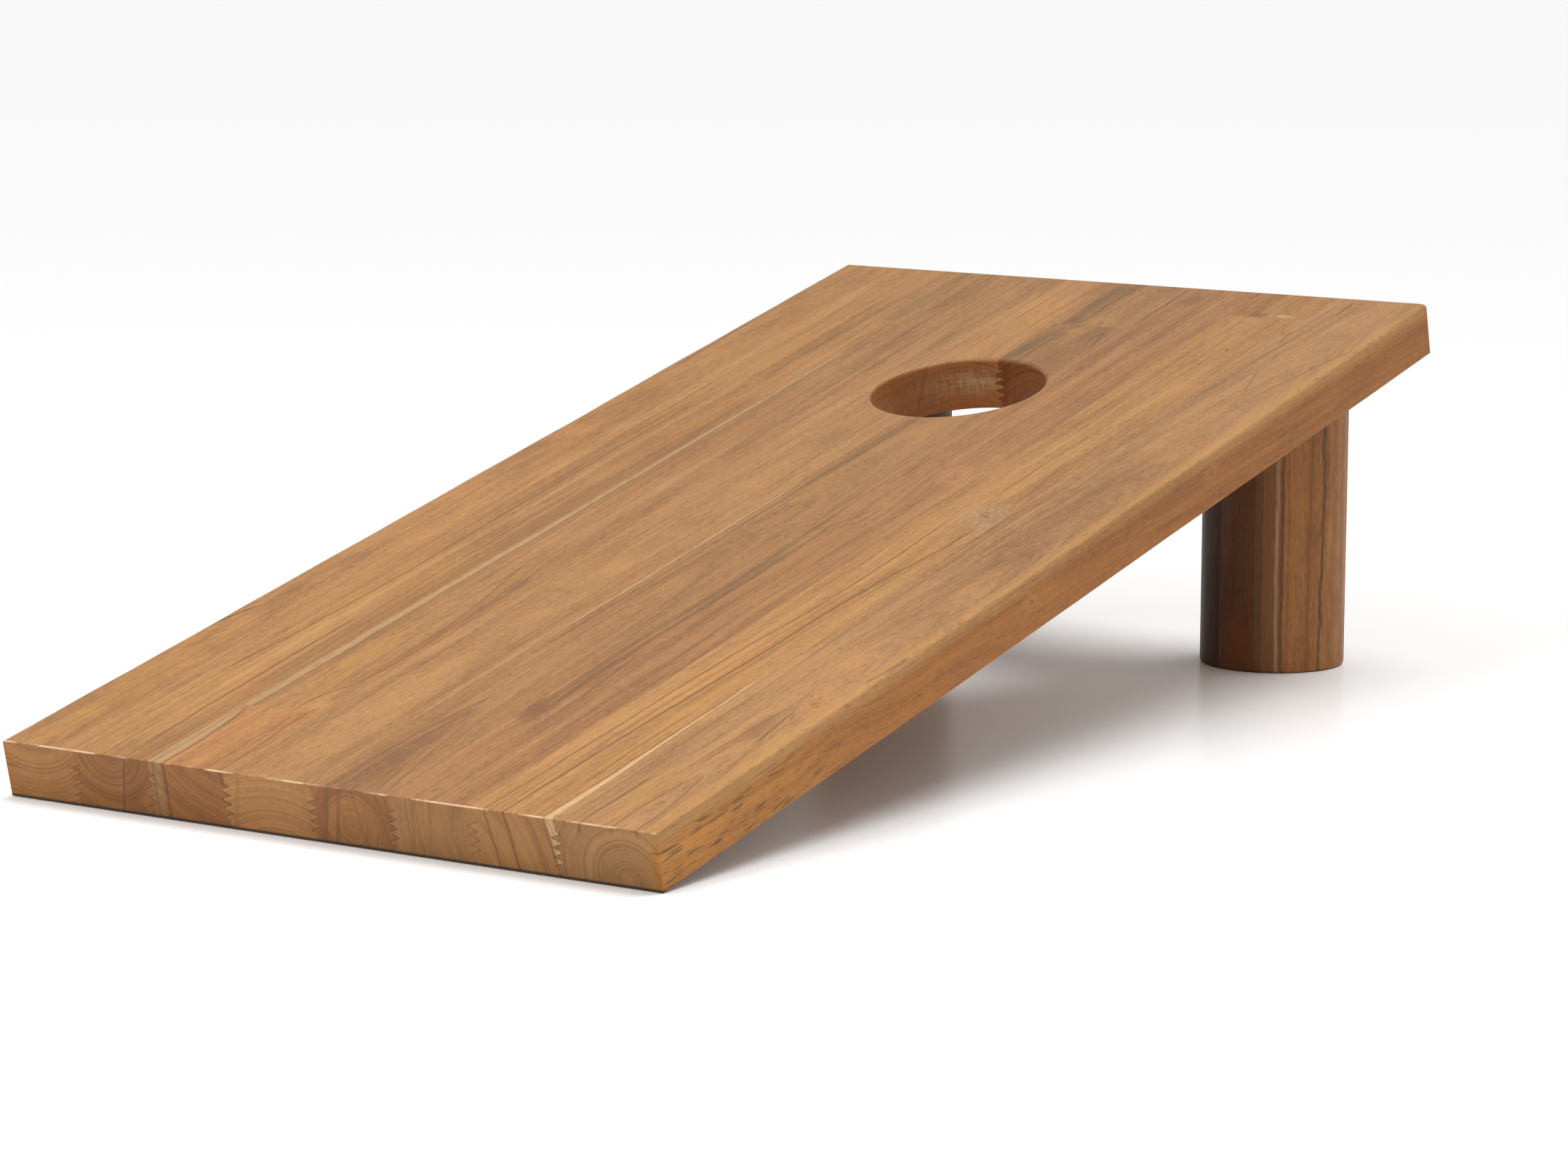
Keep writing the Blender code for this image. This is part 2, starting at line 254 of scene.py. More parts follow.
class Graph:
    """The shader nodes of one material."""

    def __init__(self, name):
        self.material = bpy.data.materials.new(name)
        self.material.use_nodes = True
        self.tree = self.material.node_tree
        self.shader = self.tree.nodes["Principled BSDF"]

    def node(self, kind, **settings):
        made = self.tree.nodes.new(kind)
        for key, value in settings.items():
            setattr(made, key, value)
        return made

    def feed(self, socket, value):
        if isinstance(value, Signal):
            self.tree.links.new(value.socket, socket)
        elif isinstance(value, tuple) and len(value) == 3 and socket.type == "RGBA":
            socket.default_value = (*value, 1.0)
        else:
            socket.default_value = value

    def math(self, operation, *values):
        made = self.node("ShaderNodeMath", operation=operation)
        for socket, value in zip(made.inputs, values):
            self.feed(socket, value)
        return Signal(self, made.outputs[0])

    def join(self, x, y, z):
        made = self.node("ShaderNodeCombineXYZ")
        for socket, value in zip(made.inputs, (x, y, z)):
            self.feed(socket, value)
        return Signal(self, made.outputs[0])

    def split(self, vector):
        made = self.node("ShaderNodeSeparateXYZ")
        self.feed(made.inputs[0], vector)
        return [Signal(self, output) for output in made.outputs]

    def noise(self, x, y, z, detail=2.0):
        """Smooth noise with features of about one unit, around 0.5."""
        made = self.node("ShaderNodeTexNoise")
        self.feed(made.inputs["Vector"], self.join(x, y, z))
        made.inputs["Scale"].default_value = 1.0
        made.inputs["Detail"].default_value = detail
        return Signal(self, made.outputs["Fac"])

    def chance(self, value):
        """An even random number for each whole number."""
        made = self.node("ShaderNodeTexWhiteNoise", noise_dimensions="1D")
        self.feed(made.inputs["W"], value)
        return Signal(self, made.outputs["Value"])

    def step(self, value, low, high):
        """0 up to low, 1 from high on, smooth between. Low may be above high."""
        made = self.node("ShaderNodeMapRange", interpolation_type="SMOOTHSTEP")
        flip = low > high
        self.feed(made.inputs["Value"], value)
        made.inputs["From Min"].default_value = min(low, high)
        made.inputs["From Max"].default_value = max(low, high)
        made.inputs["To Min"].default_value = 1.0 if flip else 0.0
        made.inputs["To Max"].default_value = 0.0 if flip else 1.0
        return Signal(self, made.outputs["Result"])

    def curve(self, value, points, span):
        """A smooth curve through (place, height) points; places run up to span, heights stay within 500."""
        made = self.node("ShaderNodeFloatCurve")
        drawn = made.mapping.curves[0]
        marks = [(place / span, height / CURVE_HEIGHT + 0.5) for place, height in points]
        drawn.points[0].location = marks[0]
        drawn.points[1].location = marks[-1]
        for mark in marks[1:-1]:
            drawn.points.new(*mark)
        made.mapping.extend = "HORIZONTAL"
        made.mapping.update()
        self.feed(made.inputs["Value"], value / span)
        return (Signal(self, made.outputs[0]) - 0.5) * CURVE_HEIGHT

    def ramp(self, value, stops):
        made = self.node("ShaderNodeValToRGB")
        elements = made.color_ramp.elements
        while len(elements) < len(stops):
            elements.new(0.5)
        for element, (place, colour) in zip(elements, stops):
            element.position = place
            element.color = (*colour, 1.0)
        self.feed(made.inputs[0], value)
        return Signal(self, made.outputs["Color"])

    def blend(self, factor, first, second, mode="MIX"):
        made = self.node("ShaderNodeMix", data_type="RGBA", blend_type=mode)
        self.feed(made.inputs["Factor"], factor)
        self.feed(made.inputs[MIX_FIRST], first)
        self.feed(made.inputs[MIX_SECOND], second)
        return Signal(self, made.outputs[MIX_RESULT])

    def place(self, location=(0.0, 0.0, 0.0), rotation=(0.0, 0.0, 0.0)):
        """Coordinates in millimetres in axes of the piece's own."""
        made = self.node("ShaderNodeMapping")
        self.tree.links.new(self.node("ShaderNodeTexCoord").outputs["Object"], made.inputs["Vector"])
        made.inputs["Location"].default_value = location
        made.inputs["Rotation"].default_value = rotation
        made.inputs["Scale"].default_value = (MM, MM, MM)
        return self.split(Signal(self, made.outputs[0]))

    def facing(self, direction):
        """How squarely the surface faces along a direction, either way."""
        made = self.node("ShaderNodeVectorMath", operation="DOT_PRODUCT")
        self.tree.links.new(self.node("ShaderNodeTexCoord").outputs["Normal"], made.inputs[0])
        made.inputs[1].default_value = direction
        return self.math("ABSOLUTE", Signal(self, made.outputs["Value"]))

    def finish(self, colour, roughness, height, depth, gloss=0.5):
        self.feed(self.shader.inputs["Base Color"], colour)
        self.feed(self.shader.inputs["Roughness"], roughness)
        self.shader.inputs["Specular IOR Level"].default_value = gloss
        bump = self.node("ShaderNodeBump")
        bump.inputs["Distance"].default_value = depth
        self.feed(bump.inputs["Height"], height)
        self.tree.links.new(bump.outputs["Normal"], self.shader.inputs["Normal"])
        return self.material


# ---------------------------------------------------------------- teak


def tinted(colour, factor, warmth=1.0):
    """A colour made lighter or darker as teak is: its dark parts are browner, its light ones paler."""
    red, green, blue = colour
    return (red * factor, green * factor**1.15 / warmth**0.5, blue * factor**1.31 / warmth)


def line(route, width, colour, strength=0.6, soft=0.5, ragged=0.5, fade=25.0, deep=None, lean=None):
    """A streak along the grain. Its route is (along, across) points; its width one number or (along, width)
    points; deep is how far below the top it goes, if not right through; lean is how it slants below it."""
    return dict(
        route=route, width=width, colour=colour, strength=strength, soft=soft, ragged=ragged, fade=fade,
        deep=deep, lean=lean,
    )


def leg_line(route, width, colour, strength, **settings):
    """A streak along a leg, straight down through its layer."""
    return line(route, width, colour, strength, lean=0.0, **settings)


def patch(across, along, wide, long, colour, strength=0.5):
    """A soft stain, wide across the grain and long along it."""
    return dict(across=across, along=along, wide=wide, long=long, colour=colour, strength=strength)


def knot(across, along, core, colour, halo, bend=0.9, reach=3.2):
    """A small round knot of one core radius, which the grain flows round."""
    return dict(across=across, along=along, core=core, colour=colour, halo=halo, bend=bend, reach=reach)


class Wood:
    """A point in a board: its coordinates, the tree's rings round it, and noise along the grain."""

    def __init__(self, graph, spot, seed, pith, rise, spacing, knots, drawn_at):
        self.graph = graph
        self.across, self.along, self.up = spot
        self.drawn_at = drawn_at
        self.seed = seed
        self.pith = pith
        self.rise = rise
        self.spacing = spacing
        small = graph.noise(self.across / 24.0, self.along / 60.0, self.up / 24.0 + seed, detail=1.0) - 0.5
        large = graph.noise(self.across / 60.0, self.along / 230.0, self.up / 60.0 + seed, detail=1.0) - 0.5
        self.steady = self.across + small * 2.5
        self.waver = (graph.noise(self.along / 14.0, self.across / 9.0, seed, detail=2.0) - 0.5) * 1.6
        self.bent = self.steady + large * 13.0
        for around in knots:
            self.bend_round(around)
        self.depth = drawn_at - self.up
        self.radius = self.radius_at(self.bent, self.up)

    def bend_round(self, around):
        aside = self.across - around["across"]
        beside = self.along - around["along"]
        reach = around["core"] * around["reach"]
        shrink = aside * aside / reach**2 + beside * beside / (reach * 2.2) ** 2
        near = self.graph.math("EXPONENT", shrink * -1.0)
        self.bent = self.bent - aside * near * around["bend"]

    def radius_at(self, across, up):
        """The distance from the tree's pith, which slopes through the board."""
        sideways = across - self.pith[0]
        upward = self.along * self.rise + self.pith[1] - up
        return self.graph.math("SQRT", sideways * sideways + upward * upward)

    def streaks(self, wide, long, detail=2.0, shift=0.0):
        """Noise that follows the rings, from about -0.5 to 0.5."""
        found = self.graph.noise(
            self.radius / wide, self.along / long, self.up / (long * 0.5) + self.seed + shift, detail=detail
        )
        return found - 0.5

    def cloud(self, wide, long, shift=0.0, detail=2.0):
        found = self.graph.noise(
            self.across / wide, self.along / long, self.up / wide + self.seed + shift, detail=detail
        )
        return found - 0.5

    def ring_lines(self):
        """Thin dark ring edges, some strong and some hardly there."""
        graph = self.graph
        uneven = graph.noise(self.radius / 13.0, self.along / 700.0, self.seed, detail=1.0)
        phase = self.radius / self.spacing + uneven * 2.4
        within = graph.math("FRACT", phase)
        ring = graph.chance(graph.math("FLOOR", phase) + self.seed)
        broken = graph.noise(self.radius / 6.0, self.along / 130.0, self.seed + 5.0, detail=1.0)
        edge = graph.step(within, 0.55, 0.96) * graph.step(within, 1.0, 0.97)
        return edge * graph.step(ring, 0.30, 1.0) * graph.step(broken, 0.38, 0.62)

    def pores(self):
        """Short dark vessels: dashes along the grain and dots across it."""
        upward = self.up * 1.5 + self.seed
        field = self.graph.noise(self.across * 1.5, self.along / 13.0, upward, detail=1.0)
        return self.graph.step(field + self.cloud(8.0, 90.0, 6.0) * 0.35, 0.58, 0.78)


def add_line(wood, colour, streak, threads):
    """One streak: sapwood, a mineral stain or a dark line, which leans as the rings do below the top."""
    graph = wood.graph
    marks = [(mark[0], mark[1] - wood.pith[0]) for mark in streak["route"]]
    aside = marks[0][1]
    lean = (wood.drawn_at - wood.pith[1]) / (aside if abs(aside) > 1.0 else 1.0)
    lean = max(-0.2, min(0.2, lean)) if streak["lean"] is None else streak["lean"]
    middle = graph.curve(wood.along, marks, DECK_LENGTH * MM) + wood.depth * lean
    width = streak["width"]
    if isinstance(width, tuple):
        width = graph.curve(wood.along, width, DECK_LENGTH * MM)
    away = graph.math("ABSOLUTE", (wood.steady + wood.waver - wood.pith[0] - middle) / width)
    mask = graph.step(away, 1.0 + streak["soft"], 1.0 - streak["soft"])
    first, last = streak["route"][0][0], streak["route"][-1][0]
    fade = streak["fade"]
    if first > 0.0:
        mask = mask * graph.step(wood.along, first - fade * 0.3, first + fade)
    if last < DECK_LENGTH * MM:
        mask = mask * graph.step(wood.along, last + fade * 0.3, last - fade)
    deep = streak["deep"]
    if deep:
        mask = mask * graph.step(wood.depth + wood.waver * 2.0, deep * 1.5, deep * 0.6)
    ragged = streak["ragged"]
    if ragged:
        mask = mask * (graph.step(threads, -0.20, 0.16) * ragged + (1.0 - ragged))
    return graph.blend(mask * streak["strength"], colour, streak["colour"])


def add_patch(wood, colour, stain):
    graph = wood.graph
    aside = (wood.across - stain["across"]) / stain["wide"]
    beside = (wood.along - stain["along"]) / stain["long"]
    near = graph.math("EXPONENT", (aside * aside + beside * beside) * -1.0)
    uneven = near + wood.streaks(1.5, 26.0, shift=7.0) * 1.1 + wood.cloud(9.0, 22.0, 7.0) * 0.7
    return graph.blend(graph.step(uneven, 0.28, 1.05) * stain["strength"], colour, stain["colour"])


def add_knot(wood, colour, around):
    """A small eye in the grain: a clouded surround, broken curls round it and a darker core."""
    graph = wood.graph
    aside = (wood.across - around["across"]) / around["core"]
    beside = (wood.along - around["along"]) / (around["core"] * 1.5) + aside * 0.35
    reach = graph.math("SQRT", aside * aside * 0.7 + beside * beside)
    clouded = reach + wood.cloud(3.5, 5.0, 8.0) * 1.8 + wood.cloud(9.0, 14.0, 9.0) * 2.4
    rings = graph.math("SINE", clouded * 9.0) * 0.5 + 0.5
    colour = graph.blend(graph.step(clouded, around["reach"], 0.6) * 0.72, colour, around["halo"])
    curls = graph.step(clouded, around["reach"], 1.0) * graph.step(rings, 0.62, 0.95)
    colour = graph.blend(curls * 0.45, colour, around["colour"])
    return graph.blend(graph.step(clouded, 1.1, 0.2) * (rings * 0.5 + 0.2), colour, around["colour"])


def varied_hue(wood, colour, warm):
    """Warmer and cooler stretches of the same board."""
    graph = wood.graph
    hue = wood.streaks(17.0, 330.0, shift=11.0) + wood.cloud(50.0, 200.0, 12.0) * 0.6
    warmer = graph.step(hue, 0.02, 0.28) * (0.5 * warm)
    colour = graph.blend(warmer, colour, (1.06, 0.98, 0.76), mode="MULTIPLY")
    return graph.blend(graph.step(hue, -0.02, -0.26) * 0.5, colour, (0.95, 0.95, 1.02), mode="MULTIPLY")


def end_grain(wood, colour, base, end_axis, end_shade):
    """Fine rings, and a darker tint where the surface faces along the grain: end grain's own darker colour, partly
    painted shade on these faces.
    """
    graph = wood.graph
    end = graph.step(graph.facing(end_axis), 0.55, 0.95)
    rings = graph.noise(wood.radius / 1.7, wood.along / 400.0, wood.seed + 9.0, detail=2.0)
    colour = graph.blend(end * graph.step(rings, 0.46, 0.72) * 0.55, colour, tinted(base, 0.50))
    # end_shade: end grain's own colour, partly painted shade set to match how the end faces are lit.
    return graph.blend(end, colour, end_shade, mode="MULTIPLY")


def teak(name, spot, end_axis, base, seed, pith, rise=0.0, spacing=5.0, lines=0.5, warm=1.0, figure=1.0,
         knots=(), streaks=(), patches=(), marks_and_shade=None, end_shade=(0.97, 0.91, 0.82),
         drawn_at=DECK_THICKNESS * MM):
    """One board of oiled teak, coloured right through. Its streaks are drawn at the height drawn_at."""
    graph = Graph(name)
    wood = Wood(graph, spot(graph), seed, pith, rise, spacing, knots, drawn_at)
    threads = wood.streaks(0.9, 55.0, detail=3.0, shift=3.0)
    medium = wood.streaks(3.4, 170.0, shift=2.0)
    broad = wood.streaks(13.0, 420.0, shift=1.0)
    mottle = wood.cloud(30.0, 75.0, 4.0)
    fibres = wood.cloud(0.8, 8.0, 5.0)
    silk = wood.cloud(4.5, 7.0, 9.0)
    tone = (broad * 0.66 + medium * 0.50 + mottle * 0.28) * figure
    tone = tone + threads * 0.50 + fibres * 0.66 + silk * 0.20 + 0.5
    shades = ((0.08, 0.48), (0.34, 0.80), (0.50, 1.0), (0.66, 1.14), (0.92, 1.36))
    colour = graph.ramp(tone, [(place, tinted(base, factor)) for place, factor in shades])
    colour = varied_hue(wood, colour, warm)
    colour = graph.blend(wood.ring_lines() * lines, colour, tinted(base, 0.45, 1.05))
    for stain in patches:
        colour = add_patch(wood, colour, stain)
    for streak in streaks:
        colour = add_line(wood, colour, streak, threads)
    for around in knots:
        colour = add_knot(wood, colour, around)
    vessels = wood.pores()
    colour = graph.blend(vessels * 0.60, colour, tinted(base, 0.36))
    colour = end_grain(wood, colour, base, end_axis, end_shade)
    # Wear and marks along some edges, together with painted shade, a painted highlight and a painted contact shadow.
    if marks_and_shade:
        colour = marks_and_shade(wood, colour)
    roughness = threads * 0.16 + fibres * 0.14 + 0.50
    height = threads * 0.5 + fibres * 0.5 - vessels * 0.8
    return graph.finish(colour, roughness, height, 0.00010, gloss=0.28)


TEAK_ORANGE = (0.361, 0.168, 0.053)
TEAK_WARM = (0.346, 0.163, 0.050)
TEAK_TAN = (0.336, 0.160, 0.053)
TEAK_OLIVE = (0.306, 0.146, 0.049)
TEAK_BROWN = (0.318, 0.144, 0.048)
TEAK_GOLDEN = (0.378, 0.181, 0.055)
TEAK_GREYED = (0.346, 0.167, 0.058)

SAPWOOD = (0.385, 0.240, 0.112)
SAP_PALE = (0.580, 0.378, 0.185)
PINKISH = (0.428, 0.207, 0.079)
PEACH = (0.458, 0.213, 0.071)
OLIVE = (0.132, 0.069, 0.022)
GREENISH = (0.214, 0.123, 0.038)
PURPLED = (0.181, 0.077, 0.032)
UMBER = (0.173, 0.070, 0.019)
RUSSET = (0.244, 0.085, 0.019)
BLACKENED = (0.085, 0.039, 0.013)
GOLD = (0.458, 0.220, 0.052)


DECK_ALONG = (0.0, math.cos(DECK_TILT), math.sin(DECK_TILT))


def deck_spot(graph):
    """Across from the deck's left side, along from its front end and up from its underside."""
    lift = FRONT_EDGE_Y * MM * math.sin(DECK_TILT)
    back = -FRONT_EDGE_Y * MM * math.cos(DECK_TILT)
    return graph.place((DECK_WIDTH / 2 * MM, back, lift), (-DECK_TILT, 0.0, 0.0))


def front_wear_and_shade(wood, colour):
    """The pale front arris, with wear and partly a painted highlight, and a painted contact shadow along the lower
    arris, which the board rests on.
    """
    graph = wood.graph
    thick = DECK_THICKNESS * MM
    # Pale top front arris: wear, partly a painted highlight where the rounded edge catches the light.
    near = graph.step(wood.up, thick - 1.3, thick - 0.4) * graph.step(wood.along, 1.7, 0.6)
    wear_and_highlight = graph.step(graph.noise(wood.across / 24.0, 0.5, 0.5, detail=3.0), 0.42, 0.60)
    colour = graph.blend(near * wear_and_highlight * 0.8, colour, (0.80, 0.58, 0.38))
    # Painted contact shadow: a near-black line along the lower front arris, where the board meets the floor.
    painted_contact_shadow = graph.step(wood.up, 3.0, 1.6) * graph.step(wood.along, 4.0, 1.5)
    return graph.blend(painted_contact_shadow * 0.85, colour, (0.020, 0.012, 0.008))


def hole_wall(wood):
    """Where a point lies round the bag hole, and how near it is to the hole's wall."""
    graph = wood.graph
    aside = wood.across - DECK_WIDTH / 2 * MM
    beside = wood.along - HOLE_CENTRE * MM
    reach = graph.math("SQRT", aside * aside + beside * beside)
    return aside, beside, graph.step(reach, HOLE_RADIUS * MM + 0.9, HOLE_RADIUS * MM + 0.5)


def bored_wood_and_shade(wood, colour):
    """Painted shade that darkens and reddens the hole's wall, then the front arris's wear, painted highlight and
    painted contact shadow.
    """
    wall = hole_wall(wood)[2]
    # Painted shade: the wall of the hole, a shaded recess, is darkened and reddened.
    colour = wood.graph.blend(wall, colour, (0.92, 0.66, 0.50), mode="MULTIPLY")
    return front_wear_and_shade(wood, colour)


def scored_wood_and_shade(wood, colour):
    """The hole's wall with its painted shade, and a pale, finely scored arc across its far side."""
    graph = wood.graph
    colour = bored_wood_and_shade(wood, colour)
    aside, beside, wall = hole_wall(wood)
    scores = graph.noise(wood.across / 1.1, wood.up / 14.0, wood.seed, detail=2.0)
    cuts = graph.noise(wood.across / 30.0, wood.up / 1.3, wood.seed + 2.0, detail=2.0)
    arc_middle = (aside + 24.0) / 30.0
    arc_height = (wood.up - DECK_THICKNESS * MM * 0.55) / 11.0
    near = graph.math("EXPONENT", (arc_middle * arc_middle + arc_height * arc_height) * -1.0)
    pale = near * graph.step(scores * 0.6 + cuts * 0.4, 0.36, 0.56) * graph.step(beside, 10.0, 30.0)
    return graph.blend(wall * pale * 0.75, colour, (0.52, 0.38, 0.20))


def side_knot(wood, colour, along, below):
    """A small pale knot with a dark, cracked middle in the right-hand side."""
    graph = wood.graph
    right = graph.step(wood.across, DECK_WIDTH * MM - 4.0, DECK_WIDTH * MM - 1.0)
    beside = (wood.along - along) / 10.0
    aside = (wood.depth - below) / 6.0
    reach = graph.math("SQRT", beside * beside + aside * aside)
    clouded = reach + (graph.noise(wood.along / 3.0, wood.up / 3.0, wood.seed, detail=3.0) - 0.5) * 3.4
    colour = graph.blend(right * graph.step(clouded, 1.5, 0.0) * 0.45, colour, PINKISH)
    return graph.blend(right * graph.step(clouded, 0.45, -0.2) * 0.8, colour, UMBER)


def outer_wood_and_shade(wood, colour):
    """The front arris's wear, painted highlight and contact shadow, and painted shade that darkens and warms the long
    outer sides below their golden edge.
    """
    graph = wood.graph
    middle = DECK_WIDTH / 2 * MM
    outside = graph.step(graph.math("ABSOLUTE", wood.across - middle), middle - 12.0, middle - 3.0)
    below = graph.step(wood.depth + wood.waver * 2.5, 5.0, 13.0)
    # Painted shade: the outer sides below the rounded edge are darkened and warmed, the way a side turned from the
    # light and lit by warm bounce looks.
    colour = graph.blend(outside * below, colour, (0.91, 0.67, 0.29), mode="MULTIPLY")
    flecks = graph.noise(wood.along / 20.0, wood.up * 0.55, wood.seed + 3.0, detail=0.0)
    broken = graph.noise(wood.along / 60.0, wood.up / 12.0, wood.seed + 4.0, detail=1.0)
    # Near the front the painted side shade is made lighter and less orange, and the dark flecks lie only there.
    fore = graph.step(wood.along, 380.0, 60.0)
    colour = graph.blend(outside * below * fore, colour, (1.22, 1.38, 1.52), mode="MULTIPLY")
    marked = graph.step(flecks + (broken - 0.5) * 0.4, 0.64, 0.72) * fore
    colour = graph.blend(outside * below * marked * 0.75, colour, BLACKENED)
    colour = side_knot(wood, colour, 520.0, 20.0)
    colour = side_knot(wood, colour, 815.0, 17.0)
    return front_wear_and_shade(wood, colour)
